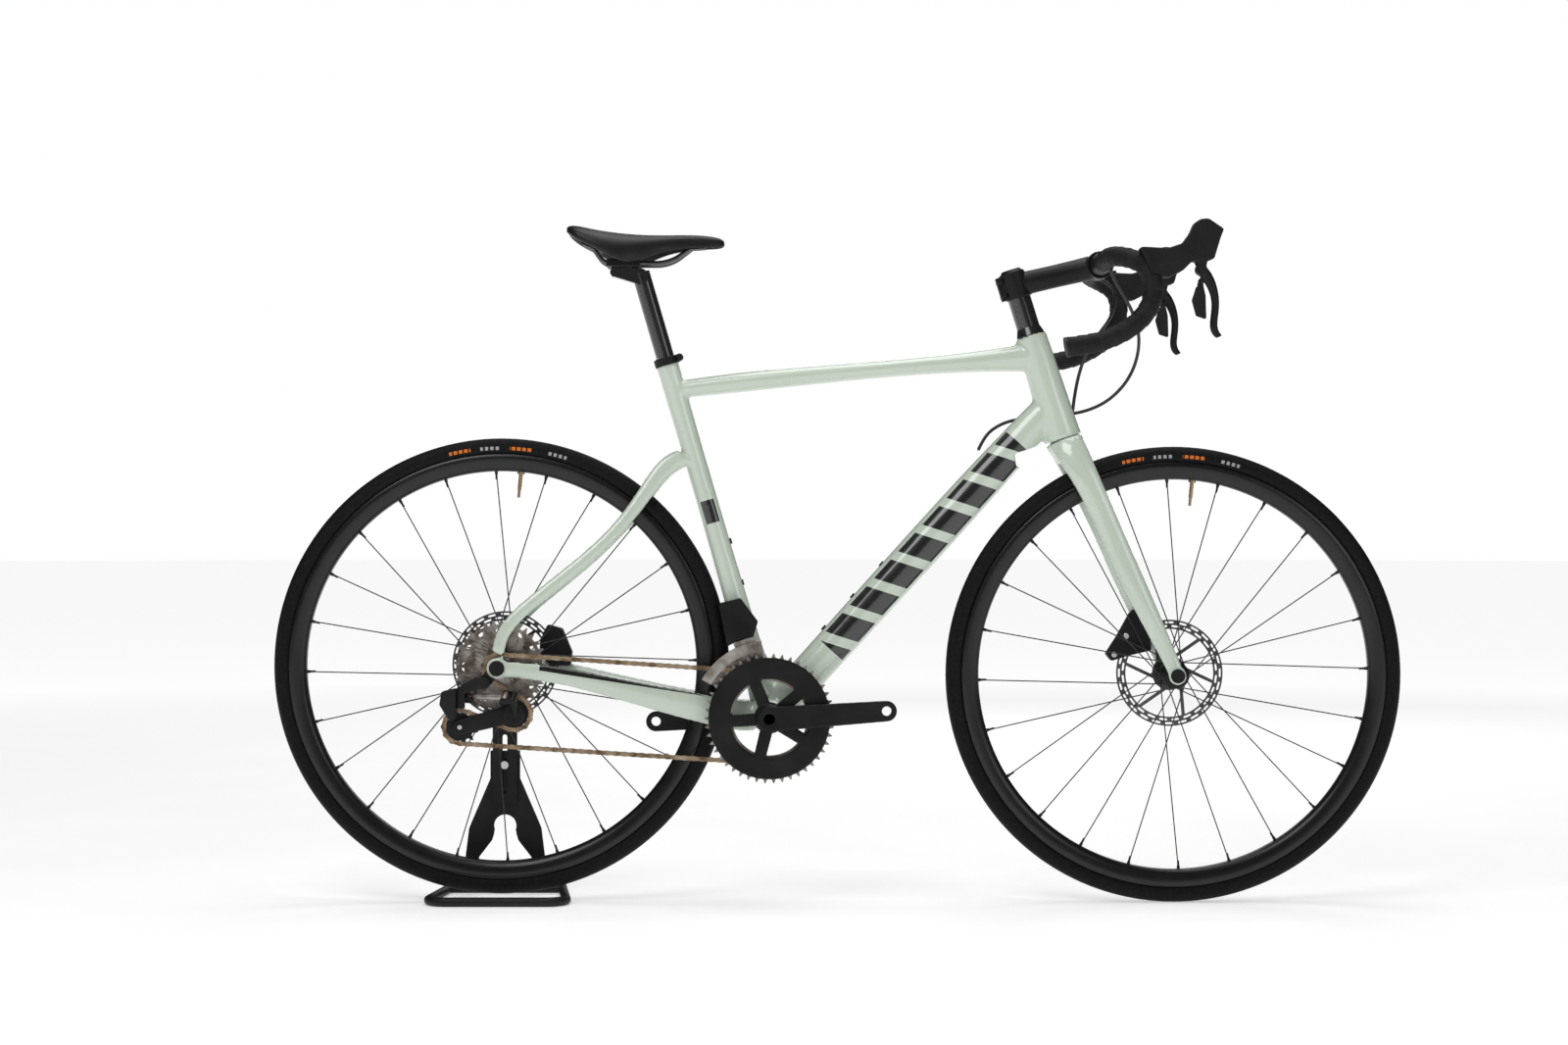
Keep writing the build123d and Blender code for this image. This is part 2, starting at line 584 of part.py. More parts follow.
# ---- Frame ----
shell_half = bb_shell_width / 2
dropout_inner = rear_hub_width / 2
seat_stay_root = on_seat_tube(405, -14)
with BuildPart() as frame:
    disc(bottom_bracket, -shell_half, shell_half, bb_shell_radius)
    stage(crown, steer_up, 0, 18, head_tube_bottom_radius, head_tube_bottom_radius - 1)
    stage(crown, steer_up, 18, head_tube_length, head_tube_bottom_radius - 1, head_tube_top_radius)
    limb((bottom_bracket, 0, 50, 46), (on_seat_tube(150), 0, 36, 36), (on_seat_tube(300), 0, 33.5, 32),
         (on_seat_tube(seat_tube_length - 12), 0, 33.5, 33.5))
    stage(bottom_bracket, seat_up, seat_tube_length - 12.5, seat_tube_length, 15.8)
    limb((bottom_bracket, 0, 58, 56), (between(bottom_bracket, on_steerer(54), 0.45), 0, 54, 58),
         (between(bottom_bracket, on_steerer(54), 0.85), 0, 46, 54), (on_steerer(54), 0, 40, 46))
    limb((on_seat_tube(506), 0, 30, 25), (between(on_seat_tube(506), on_steerer(128), 0.45, -3), 0, 34, 27),
         (between(on_seat_tube(506), on_steerer(128), 0.85, -1), 0, 40, 33), (on_steerer(128), 0, 40, 46))
    for side in (1, -1):
        limb((between(bottom_bracket, rear_axle, 0.05, -2), side * 20, 24, 44),
             (between(bottom_bracket, rear_axle, 0.215, -6), side * 25.5, 14, 44),
             (between(bottom_bracket, rear_axle, 0.32, -4), side * 31, 14, 41),
             (between(bottom_bracket, rear_axle, 0.50, 0), side * 43, 14, 34),
             (between(bottom_bracket, rear_axle, 0.67, 4.4), side * 58, 13, 28),
             (between(bottom_bracket, rear_axle, 0.85, 5), side * 71, 10, 25),
             (between(bottom_bracket, rear_axle, 0.97, 1), side * 74.5, 7, 24))
        limb((seat_stay_root, side * 11, 15, 30),
             (between(seat_stay_root, rear_axle, 0.175, 9), side * 26, 12, 24),
             (between(seat_stay_root, rear_axle, 0.437, 6), side * 42, 11, 20),
             (between(seat_stay_root, rear_axle, 0.566, 13), side * 50, 11, 20),
             (between(seat_stay_root, rear_axle, 0.706, 23), side * 60, 11, 20),
             (between(seat_stay_root, rear_axle, 0.841, 29), side * 70, 9, 20),
             (between(seat_stay_root, rear_axle, 0.958, 12), side * 74.5, 7, 20))
        y_low, y_high = sorted((side * dropout_inner, side * (dropout_inner + dropout_thickness)))
        disc(rear_axle, y_low, y_high, 16.0)
    disc(rear_axle, -dropout_inner, dropout_inner, 16.5, mode=Mode.SUBTRACT)
    disc(rear_axle, -dropout_inner - 12, dropout_inner + 12, thru_axle_radius, mode=Mode.SUBTRACT)
    disc(bottom_bracket, -shell_half - 20, -shell_half, pitch_radius(outer_ring_teeth) + 10,
         mode=Mode.SUBTRACT)
    disc(bottom_bracket, -shell_half, shell_half, 20.5, mode=Mode.SUBTRACT)
    stage(bottom_bracket, seat_up, seat_tube_length - 175, seat_tube_length + 5,
          seatpost_radius + running_clearance, mode=Mode.SUBTRACT)
    stage(crown, steer_up, -10, head_tube_length + 10, 20.5, mode=Mode.SUBTRACT)
    stage(crown, steer_up, -20, 0.0, 80.0, mode=Mode.SUBTRACT)
save(frame, "frame")


def trimmed_by(*others):
    """Cuts neighbouring sub-parts out of the one being built, so that they meet face to face."""
    for other in others:
        add(other.part, mode=Mode.SUBTRACT)


def sector(centre, r_in, r_out, start, turn, y_low, y_high, mode=Mode.ADD):
    """A flat piece of ring between two angles."""
    with BuildSketch(side_plane(y_high)) as profile:
        with BuildLine():
            near = CenterArc(centre, r_in, start, turn)
            far = CenterArc(centre, r_out, start, turn)
            Line(near @ 0, far @ 0)
            Line(near @ 1, far @ 1)
        make_face()
    extrude(profile.sketch, amount=y_high - y_low, mode=mode)


# ---- Small pieces fixed to the frame ----
with BuildPart() as bottom_bracket_cups:
    for side in (1, -1):
        for inner_y, outer_y, radius in ((20, shell_half, 20.5), (shell_half, 42, 23.0)):
            y_low, y_high = sorted((side * inner_y, side * outer_y))
            disc(bottom_bracket, y_low, y_high, radius, spindle_radius + running_clearance)
save(bottom_bracket_cups, "bottom_bracket_cups")

collar_top = seat_tube_length + 1
with BuildPart() as seat_clamp:
    stage(bottom_bracket, seat_up, seat_tube_length - 12, seat_tube_length, 18.6)
    stage(bottom_bracket, seat_up, seat_tube_length - 20, seat_tube_length + 1, 15.8, mode=Mode.SUBTRACT)
    disc(on_seat_tube(seat_tube_length - 5, 20.5), -9, 9, 5.5)
    disc(on_seat_tube(seat_tube_length - 5, 20.5), -9, 9, 2.6, mode=Mode.SUBTRACT)
    stage(bottom_bracket, seat_up, seat_tube_length - 20, seat_tube_length + 1, 15.8, mode=Mode.SUBTRACT)
save(seat_clamp, "seat_clamp")

down_tube_run = (on_steerer(54)[0] - bottom_bracket[0], on_steerer(54)[1] - bottom_bracket[1])
down_tube_direction = (down_tube_run[0] / hypot(*down_tube_run), down_tube_run[1] / hypot(*down_tube_run))
bottle_boss_spacing = 64.0
down_tube_normal = (-down_tube_direction[1], down_tube_direction[0])
with BuildPart() as frame_bolts:
    for k in range(3):
        place = along(bottom_bracket, down_tube_direction, 152 + bottle_boss_spacing * k)
        stage(place, down_tube_normal, 12, 30.6, 4.5)
    for k in range(2):
        place = on_seat_tube(203 + bottle_boss_spacing * k)
        stage(place, seat_forward, 8, 18.8, 4.5)
    disc(on_seat_tube(seat_tube_length - 5, 20.5), -11.5, -9, 4.0)
    disc(on_seat_tube(seat_tube_length - 5, 20.5), -9, 9, 2.6)
    trimmed_by(frame)
save(frame_bolts, "frame_bolts")

bearing_height = 8.0
with BuildPart() as headset_bearings:
    for low in (1.0, head_tube_length - bearing_height):
        inner = 19.0 if low == 1.0 else steerer_radius
        stage(crown, steer_up, low, low + bearing_height, 20.5)
        stage(crown, steer_up, low - 1, low + bearing_height + 1, inner + running_clearance,
              mode=Mode.SUBTRACT)
save(headset_bearings, "headset_bearings")

with BuildPart() as rear_thru_axle:
    outer = rear_hub_width / 2 + dropout_thickness
    disc(rear_axle, -outer, outer - 1, thru_axle_radius, pin_radius + running_clearance)
    disc(rear_axle, -outer - 3, -outer, 11.3)
save(rear_thru_axle, "rear_thru_axle")

hanger_bolt = shifted(rear_axle, -18.5, -21.3)
with BuildPart() as derailleur_hanger:
    strap(shifted(rear_axle, -9, -10), hanger_bolt, 9.0, 8.5, -78.0, -73.0)
    trimmed_by(frame)
    disc(rear_axle, -90, -60, 16.0, mode=Mode.SUBTRACT)
save(derailleur_hanger, "derailleur_hanger")

rotor_slot = rotor_thickness + 1.4
with BuildPart() as rear_caliper:
    outline = [(52, 14), (70, -2), (99, -2), (101, 18), (86, 54), (64, 60), (53, 36)]
    plate([shifted(rear_axle, *p) for p in outline], 44.0, 70.0, corner=3.0)
    disc(rear_axle, rear_rotor_y - rotor_slot / 2, rear_rotor_y + rotor_slot / 2, rotor_radius + 3,
         mode=Mode.SUBTRACT)
    trimmed_by(frame)
save(rear_caliper, "rear_caliper")

# ---- Front derailleur ----
fd_link_radius = 122.0
with BuildPart() as fd_motor:
    outline = [(-75, 169), (-43, 177), (-17, 142), (-26, 112), (-62, 104)]
    plate([shifted(bottom_bracket, *p) for p in outline], -41.0, -14.0, corner=3.0)
    disc(bottom_bracket, -60, 0, fd_link_radius + body_gap, mode=Mode.SUBTRACT)
    trimmed_by(frame)
save(fd_motor, "fd_motor")

fd_inner_y, fd_outer_y = -35.0, -51.2
with BuildPart() as fd_cage:
    sector(bottom_bracket, 76, 115, 96, 54, fd_inner_y - 1.3, fd_inner_y)
    sector(bottom_bracket, 99.5, 115, 96, 54, fd_outer_y - 1.3, fd_outer_y)
    sector(bottom_bracket, 112.5, 115, 96, 22, fd_outer_y, fd_inner_y - 1.3)
    sector(bottom_bracket, 111, 115, 146, 4, fd_outer_y, fd_inner_y - 1.3)
    sector(bottom_bracket, 114.5, fd_link_radius, 100, 16, -46.0, fd_inner_y - 1.3)
save(fd_cage, "fd_cage")

# ---- Rear derailleur: mount, battery, slanted parallelogram, pulley cage ----
link_line = (0.9436, 0.0, -0.3312)
shift_line = Vector(-0.2124, 0.7660, -0.6067).normalized()
link_length = 55.0
rest_swing = radians(28.0)
swing_axis = Vector(*link_line).cross(shift_line).normalized()
link_run = Vector(*link_line).normalized() * cos(rest_swing) - shift_line * sin(rest_swing)
knuckle_pivot = Vector(rear_axle[0] + 14.1, -95.5, rear_axle[1] - 41.0)
mount_pivot = knuckle_pivot - link_run * link_length
barrel_half = 6.0
barrel_radius = 6.0


def peg(centre, direction, low, high, radius, mode=Mode.ADD):
    """A round peg along any direction, between two distances from a point."""
    with BuildSketch(Plane(origin=centre + direction * low, z_dir=direction)) as section:
        Circle(radius)
    extrude(section.sketch, amount=high - low, mode=mode)


def clevis(pivot, back):
    """Two ears that hold a link's barrel, joined behind it by a post."""
    for low, high in ((-barrel_half - body_gap - 3, -barrel_half - body_gap),
                      (barrel_half + body_gap, barrel_half + body_gap + 3)):
        ear_plane = Plane(origin=pivot + swing_axis * low, x_dir=back, z_dir=swing_axis)
        with BuildSketch(ear_plane) as ear:
            Circle(barrel_radius)
            with Locations((13.0, 0)):
                Circle(5)
            make_hull()
        extrude(ear.sketch, amount=high - low)
    peg(pivot + back * 13.0, swing_axis, -barrel_half - body_gap - 3, barrel_half + body_gap + 3, 5.0)


with BuildPart() as rd_mount:
    clevis(mount_pivot, -link_run)
    disc(hanger_bolt, -89, -78.0, 9.0)
    outline = [(-30, -12), (-11, -16), (-24, -30), (-46, -36), (-46, -58), (-58, -58), (-58, -28)]
    plate([shifted(rear_axle, *p) for p in outline], -88.0, -79.0)
    post = mount_pivot - link_run * 13.0
    peg(post, swing_axis, -16.0, -8.0, 4.4)
save(rd_mount, "rd_mount")

with BuildPart() as rd_battery:
    outline = [(-79, -33), (-58, -28), (-58, -72), (-68, -75), (-82, -52)]
    plate([shifted(rear_axle, *p) for p in outline], -98.0, -75.0, corner=2.5)
    trimmed_by(rd_mount)
save(rd_battery, "rd_battery")

with BuildPart() as rd_links:
    for pivot in (mount_pivot, knuckle_pivot):
        peg(pivot, swing_axis, -barrel_half, barrel_half, barrel_radius)
    peg(mount_pivot, link_run, 0, link_length, 4.8)
save(rd_links, "rd_links")

cage_outer_y = cassette_first_y - 5.5
cage_inner_y = cassette_first_y + 5.5
cage_thickness = 1.8
with BuildPart() as rd_knuckle:
    clevis(knuckle_pivot, link_run)
    knuckle_high = cage_outer_y - cage_thickness - body_gap
    disc(guide_pulley, knuckle_high - 6, knuckle_high, 16.5)
    post = knuckle_pivot + link_run * 13.0
    seat = Vector(guide_pulley[0] + 2, knuckle_high - 3, guide_pulley[1])
    peg(post, (seat - post).normalized(), 0, (seat - post).length, 5.0)
    disc(guide_pulley, knuckle_high, knuckle_high + 20, 60.0, mode=Mode.SUBTRACT)
save(rd_knuckle, "rd_knuckle")

with BuildPart() as rd_cage:
    for low in (cage_outer_y - cage_thickness, cage_inner_y):
        strap(guide_pulley, tension_pulley, 13.0, 12.0, low, low + cage_thickness)
    for centre in (guide_pulley, tension_pulley):
        disc(centre, cage_outer_y - cage_thickness, cage_inner_y + cage_thickness, 2.5)
save(rd_cage, "rd_cage")

for name, centre, phase in (("rd_pulley_upper", guide_pulley, tooth_phase[3]),
                            ("rd_pulley_lower", tension_pulley, tooth_phase[2])):
    with BuildPart() as pulley:
        toothed_disc(centre, pulley_teeth, phase, cassette_first_y)
        disc(centre, cage_outer_y + body_gap, cage_inner_y - body_gap, 7.0)
        disc(centre, cage_outer_y, cage_inner_y, 2.5 + running_clearance, mode=Mode.SUBTRACT)
    save(pulley, name)

# ---- Seatpost, saddle clamp and saddle ----
post_top = seat_tube_length + seatpost_exposed
clamp_centre = on_seat_tube(post_top + 13, -22)
clamp_half = 26.0
rail_radius = 3.5
rail_y = 22.0
rail_z = clamp_centre[1] + 6.0
with BuildPart() as seatpost:
    stage(bottom_bracket, seat_up, seat_tube_length - seatpost_insertion, post_top, seatpost_radius)
    strap(on_seat_tube(post_top - 6, -2), shifted(clamp_centre, -14, -6.5), 12.0, 6.5, -13.0, 13.0)
    plate([(clamp_centre[0] - 60, rail_z - 5), (clamp_centre[0] + 60, rail_z - 5),
           (clamp_centre[0] + 60, rail_z + 60), (clamp_centre[0] - 60, rail_z + 60)],
          -40, 40, mode=Mode.SUBTRACT)
save(seatpost, "seatpost")

saddle_length = 236.0
saddle_tail = (clamp_centre[0] - 85, rail_z + 58.5)
rear_socket = 40.0
nose_socket = 188.0
rail_route = [(saddle_tail[0] + rear_socket, 30, saddle_tail[1] - 36),
              (clamp_centre[0] - 30, rail_y, rail_z), (clamp_centre[0] + 68, rail_y, rail_z),
              (saddle_tail[0] + nose_socket, 9, saddle_tail[1] - 33)]
with BuildPart() as saddle_rails:
    for route in (rail_route, mirrored(rail_route)):
        rod(route, rail_radius)
save(saddle_rails, "saddle_rails")

with BuildPart() as saddle_clamp:
    for low, high in ((-5.0, 0.0), (0.0, 6.0)):
        plate([(clamp_centre[0] - clamp_half, rail_z + low), (clamp_centre[0] + clamp_half, rail_z + low),
               (clamp_centre[0] + clamp_half - 2, rail_z + high),
               (clamp_centre[0] - clamp_half + 2, rail_z + high)], -30, 30)
    for x in (-16, 16):
        with BuildSketch(Plane.XY.offset(rail_z - 11)) as bolt:
            with Locations((clamp_centre[0] + x, 0)):
                Circle(3.5)
        extrude(bolt.sketch, amount=20)
    trimmed_by(saddle_rails, seatpost)
save(saddle_clamp, "saddle_clamp")

# Saddle stations: distance from the tail, half width, height of the top and of the hanging edge
saddle_stations = [(0, 50, -6, -15), (18, 66, -1, -25), (45, 71, -8, -37), (72, 70, -12, -54),
                   (95, 64, -14, -61), (120, 50, -15, -51), (150, 30, -14.5, -38), (185, 22, -13.5, -34),
                   (220, 19, -16, -34), (saddle_length, 9, -24, -31)]
cover_thickness = 13.0
shell_thickness = 3.5


def saddle_layer(thickness):
    """The saddle's padded cover: arched sections lofted from tail to nose."""
    faces = []
    for x, half, top, edge in saddle_stations:
        middle = (top + edge) / 2
        under = max(top - thickness, edge - 2.5)
        outline = [(-half, edge), (-half * 0.94, middle), (-half * 0.6, top - 1), (0, top),
                   (half * 0.6, top - 1), (half * 0.94, middle), (half, edge), (half - 4, edge - 1),
                   (half * 0.5, under), (-half * 0.5, under), (-half + 4, edge - 1)]
        plane = Plane(origin=(saddle_tail[0] + x, 0, saddle_tail[1]), x_dir=(0, 1, 0), z_dir=(1, 0, 0))
        with BuildSketch(plane) as section:
            with BuildLine():
                Polyline(*outline, close=True)
            make_face()
        faces.append(section.sketch)
    loft(faces, ruled=True)


with BuildPart() as saddle_cover:
    saddle_layer(cover_thickness)
save(saddle_cover, "saddle_cover")

with BuildPart() as saddle_shell:
    spine = [(x, top - cover_thickness) for x, half, top, edge in saddle_stations[2:-1]]
    spine = [(20, -17)] + spine
    lower = [(x, z - shell_thickness) for x, z in reversed(spine)]
    upper = [(x, z + shell_thickness) for x, z in spine]
    plate([shifted(saddle_tail, *p) for p in upper + lower], -14, 14)
    tail_block = [(18, -14), (62, -20), (62, -30), (48, -41), (24, -31)]
    plate([shifted(saddle_tail, *p) for p in tail_block], -36, 36)
    nose_block = [(172, -24), (210, -24), (206, -36), (178, -38)]
    plate([shifted(saddle_tail, *p) for p in nose_block], -14, 14)
    trimmed_by(saddle_cover, saddle_rails)
save(saddle_shell, "saddle_shell")

# ---- Fork, spacers and stem ----
steerer_top = head_tube_length + 12 + spacer_stack + stem_clamp_height
crown_to_axle = (front_axle[0] - crown[0], front_axle[1] - crown[1])
leg_length = hypot(*crown_to_axle)
fork_drop_y = front_hub_width / 2


def on_leg(distance, side=0.0):
    """A point down the line from the crown to the front axle."""
    return along(crown, (crown_to_axle[0] / leg_length, crown_to_axle[1] / leg_length), distance, side)


with BuildPart() as fork:
    limb((on_steerer(-body_gap), 0, 56.6, 56.6), (on_leg(16), 0, 66, 52), (on_leg(32), 0, 72, 44))
    for side in (1, -1):
        limb((on_leg(5), side * 15, 26, 50), (on_leg(32, -1), side * 31, 24, 46),
             (on_leg(75, -2), side * 40, 19, 40), (on_leg(180, -1), side * 46, 17, 34),
             (on_leg(320), side * 53, 14, 28), (on_leg(leg_length - 8), side * 54, 8, 24))
        y_low, y_high = sorted((side * fork_drop_y, side * (fork_drop_y + 8)))
        disc(front_axle, y_low, y_high, 13.0)
        y_low, y_high = sorted((side * (fork_drop_y + 8), side * (fork_drop_y + 20)))
        disc(front_axle, y_low, y_high, 18.0, mode=Mode.SUBTRACT)
    disc(front_axle, -fork_drop_y, fork_drop_y, 24.0, mode=Mode.SUBTRACT)
    disc(front_axle, -fork_drop_y - 10, fork_drop_y + 10, thru_axle_radius, mode=Mode.SUBTRACT)
    stage(crown, steer_up, -body_gap, 40, 70.0, mode=Mode.SUBTRACT)
    stage(crown, steer_up, -body_gap - 5, 12, 19.0)
    stage(crown, steer_up, 12, 90, 19.0, steerer_radius)
    stage(crown, steer_up, 90, steerer_top - 3, steerer_radius)
save(fork, "fork")

with BuildPart() as headset_spacers:
    cover_top = head_tube_length + 12
    stage(crown, steer_up, head_tube_length + body_gap, cover_top, 21.3, 17.2)
    stage(crown, steer_up, cover_top, cover_top + spacer_stack, 17.2)
    stage(crown, steer_up, head_tube_length, steerer_top, steerer_radius, mode=Mode.SUBTRACT)
save(headset_spacers, "headset_spacers")

clamp_low = head_tube_length + 12 + spacer_stack
stem_angle = 90 - head_angle - stem_drop_angle
bar_centre = shifted(on_steerer(clamp_low + stem_clamp_height / 2), *toward(stem_angle, stem_length))
faceplate_split = 0.3
with BuildPart() as stem:
    stage(crown, steer_up, clamp_low, clamp_low + stem_clamp_height, 19.0)
    stem_root = on_steerer(clamp_low + stem_clamp_height / 2)
    limb((stem_root, 0, 30, 36), (between(stem_root, bar_centre, 0.45), 0, 32, 34),
         (between(stem_root, bar_centre, 0.9), 0, 42, 36))
    plate([on_steerer(clamp_low + 2, -14), on_steerer(clamp_low + 38, -14), on_steerer(clamp_low + 38, -26),
           on_steerer(clamp_low + 2, -26)], -9, 9)
    disc(bar_centre, -21, 21, 20.5)
    disc(bar_centre, -30, 30, bar_clamp_radius, mode=Mode.SUBTRACT)
    front = toward(stem_angle)
    corners = [(faceplate_split, -40), (60, -40), (60, 40), (faceplate_split, 40)]
    plate([along(bar_centre, front, x, z) for x, z in corners], -30, 30, mode=Mode.SUBTRACT)
    stage(crown, steer_up, clamp_low - 5, steerer_top + 5, steerer_radius, mode=Mode.SUBTRACT)
save(stem, "stem")

with BuildPart() as stem_faceplate:
    disc(bar_centre, -21, 21, 20.5, bar_clamp_radius)
    corners = [(2 * faceplate_split, -40), (-60, -40), (-60, 40), (2 * faceplate_split, 40)]
    plate([along(bar_centre, front, x, z) for x, z in corners], -30, 30, mode=Mode.SUBTRACT)
save(stem_faceplate, "stem_faceplate")

with BuildPart() as steering_bolts:
    stage(crown, steer_up, steerer_top, steerer_top + 4, 17.0, 14.0)
    stage(crown, steer_up, steerer_top - 3, steerer_top, steerer_radius)
    for z in (-15.5, 15.5):
        for y in (-14, 14):
            head = Vector(*along(bar_centre, front, 17.5, z))
            origin = Vector(head.X, y, head.Y)
            with BuildSketch(Plane(origin=origin, z_dir=(front[0], 0, front[1]))) as bolt:
                Circle(3.2)
            extrude(bolt.sketch, amount=4)
    for height in (9, 31):
        disc(on_steerer(clamp_low + height, -22), -12.5, -9, 4.0)
        disc(on_steerer(clamp_low + height, -22), 9, 12.5, 4.0)
    trimmed_by(stem_faceplate)
save(steering_bolts, "steering_bolts")

# ---- Handlebar, tape, levers ----
# Half of the bar from the centre outwards: x, y and z from the bar's centre
bar_line = [(0, 150, 0), (9, bar_half_width - 24, -2), (30, bar_half_width - 3, -9),
            (49, bar_half_width, -22), (56, bar_half_width + 2, -48), (50, bar_half_width + 4, -78), (27, bar_half_width + 6, -104),
            (-9, bar_half_width + 8, -123), (-67, bar_half_width + 10, -134)]


def from_bar(x, y, z):
    """A point measured from the handlebar's centre."""
    return (bar_centre[0] + x, y, bar_centre[1] + z)


left_half = [from_bar(*p) for p in bar_line]
with BuildPart() as handlebar:
    rod(mirrored(left_half)[::-1] + left_half, bar_radius)
    turned(bar_centre, [(0, -60), (bar_radius, -60), (bar_clamp_radius, -40), (bar_clamp_radius, 40),
                        (bar_radius, 60), (0, 60)])
save(handlebar, "handlebar")

tape_start = 62.0
tape_radius = bar_radius + tape_thickness
with BuildPart() as bar_tape:
    half = [from_bar(0, tape_start, 0)] + left_half
    for route in (half, mirrored(half)):
        rod(route, tape_radius, inner=bar_radius)
save(bar_tape, "bar_tape")

with BuildPart() as bar_end_plugs:
    half_end = (Vector(*left_half[-1]), (Vector(*left_half[-1]) - Vector(*left_half[-2])).normalized())
    for side in (1, -1):
        end_point = Vector(half_end[0].X, side * half_end[0].Y, half_end[0].Z)
        end_line = Vector(half_end[1].X, side * half_end[1].Y, half_end[1].Z)
        peg(end_point, end_line, 0.0, 4.0, tape_radius)
save(bar_end_plugs, "bar_end_plugs")

hood_y = bar_half_width + 1
hood_outline = [(33, 8), (74, 6), (95, 13), (106, 28), (112, 42), (120, 47), (131, 48), (153, 33), (148, 20),
                (139, -10), (109, -12), (95, -26), (75, -36), (50, -30)]
lever_pivot = shifted(bar_centre, 122, -24)
with BuildPart() as brake_hoods:
    for side in (1, -1):
        y_low, y_high = sorted((side * (hood_y - 17), side * (hood_y + 17)))
        plate([shifted(bar_centre, *p) for p in hood_outline], y_low, y_high, corner=2.0)
    trimmed_by(bar_tape, handlebar)
    for side in (1, -1):
        y_low, y_high = sorted((side * (hood_y - 13), side * (hood_y + 13)))
        strap(shifted(lever_pivot, 0, 20), lever_pivot, 9.0, 6.0, y_low, y_high)
        y_low, y_high = sorted((side * (hood_y - 8.5), side * (hood_y + 8.5)))
        plate([shifted(lever_pivot, *p) for p in ((-30, -20), (40, -20), (40, 10.4), (-30, 10.4))],
              y_low, y_high, mode=Mode.SUBTRACT)
save(brake_hoods, "brake_hoods")

lever_stations = [(122, -24, 14, 17), (134, -40, 13, 15), (141, -60, 12, 12), (142, -80, 12, 11),
                  (140, -100, 12, 11), (148, -119, 12, 9)]
paddle_inner = hood_y - 7.5
paddle_thickness = 3.0
paddle_gap = 0.85
paddle_hinge = shifted(bar_centre, 122, -44)
paddle_outline = [(126, -42), (130, -60), (131, -94), (116, -89), (110, -67), (116, -48)]
for name, side in (("left", 1), ("right", -1)):
    with BuildPart() as brake_lever:
        disc(lever_pivot, *sorted((side * (hood_y - 8.1), side * (hood_y + 8.1))), 8.5)
        limb(*[(shifted(bar_centre, x, z), side * hood_y, width, depth)
               for x, z, width, depth in lever_stations])
        disc(shifted(paddle_hinge, z=4), *sorted((side * (paddle_inner + paddle_gap), side * hood_y)), 4.0)
    save(brake_lever, f"brake_lever_{name}")

    with BuildPart() as shift_paddle:
        y_low, y_high = sorted((side * (paddle_inner - paddle_thickness), side * paddle_inner))
        plate([shifted(bar_centre, *p) for p in paddle_outline], y_low, y_high, corner=2.5)
        disc(paddle_hinge, y_low, y_high, 4.0)
        barrel_centre = Vector(paddle_hinge[0], (y_low + y_high) / 2, paddle_hinge[1])
        peg(barrel_centre, Vector(1, 0, 0), -4.0, 5.0, paddle_thickness / 2 + 0.5)
    save(shift_paddle, f"shift_paddle_{name}")

# ---- Front axle, caliper and the two brake hoses ----
with BuildPart() as front_thru_axle:
    outer = fork_drop_y + 8
    disc(front_axle, -outer, outer, thru_axle_radius)
    disc(front_axle, -outer - 1.5, -outer, 10.5)
    disc(front_axle, outer, outer + 1.5, 9.0)
save(front_thru_axle, "front_thru_axle")

with BuildPart() as front_caliper:
    outline = [(-56, 96), (-44, 92), (-30, 60), (-28, 34), (-62, 26), (-88, 18), (-96, 28), (-78, 56)]
    plate([shifted(front_axle, *p) for p in outline], 30.0, 56.0, corner=3.0)
    disc(front_axle, front_rotor_y - rotor_slot / 2, front_rotor_y + rotor_slot / 2, rotor_radius + 3,
         mode=Mode.SUBTRACT)
    trimmed_by(fork)
save(front_caliper, "front_caliper")

front_hose_route = [from_bar(10, 84, -12), from_bar(27, 78, -20), from_bar(35, 70, -42),
                    from_bar(26, 63, -72), from_bar(6, 58, -98), from_bar(-14, 51, -128),
                    from_bar(-25, 44, -158), from_bar(-32, 38, -190), from_bar(-36, 37, -222),
                    from_bar(-38, 36, -250), from_bar(-40, 27, -272)]
rear_hose_route = [from_bar(8, -82, -11), from_bar(14, -72, -24), from_bar(30, -62, -48),
                   from_bar(46, -47, -74), from_bar(57, -27, -102), from_bar(59, -4, -128),
                   from_bar(54, 20, -154), from_bar(41, 38, -178), from_bar(18, 47, -200), from_bar(-12, 47, -214), from_bar(-44, 45, -220),
                   from_bar(-76, 43, -222), from_bar(-108, 41, -225), from_bar(-136, 39, -231),
                   from_bar(-158, 36, -243), from_bar(-171, 28, -259), from_bar(-178, 18, -273)]
for name, route, ends in (("front_brake_hose", front_hose_route, (bar_tape, handlebar, fork)),
                          ("rear_brake_hose", rear_hose_route, (bar_tape, handlebar, frame))):
    print(name, "radii", [round(r, 1) for r in bend_radii(route)])
    with BuildPart() as hose:
        rod(route, hose_radius)
        whole = hose.part.volume
        trimmed_by(*ends)
    print(name, "length", round(whole / (pi * hose_radius**2), 1), "kept", round(hose.part.volume / whole, 3))
    save(hose, name)
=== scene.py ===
import json
from math import asin, atan2, ceil, cos, degrees, pi, radians, sin

import bmesh
import bpy
from mathutils import Matrix, Vector

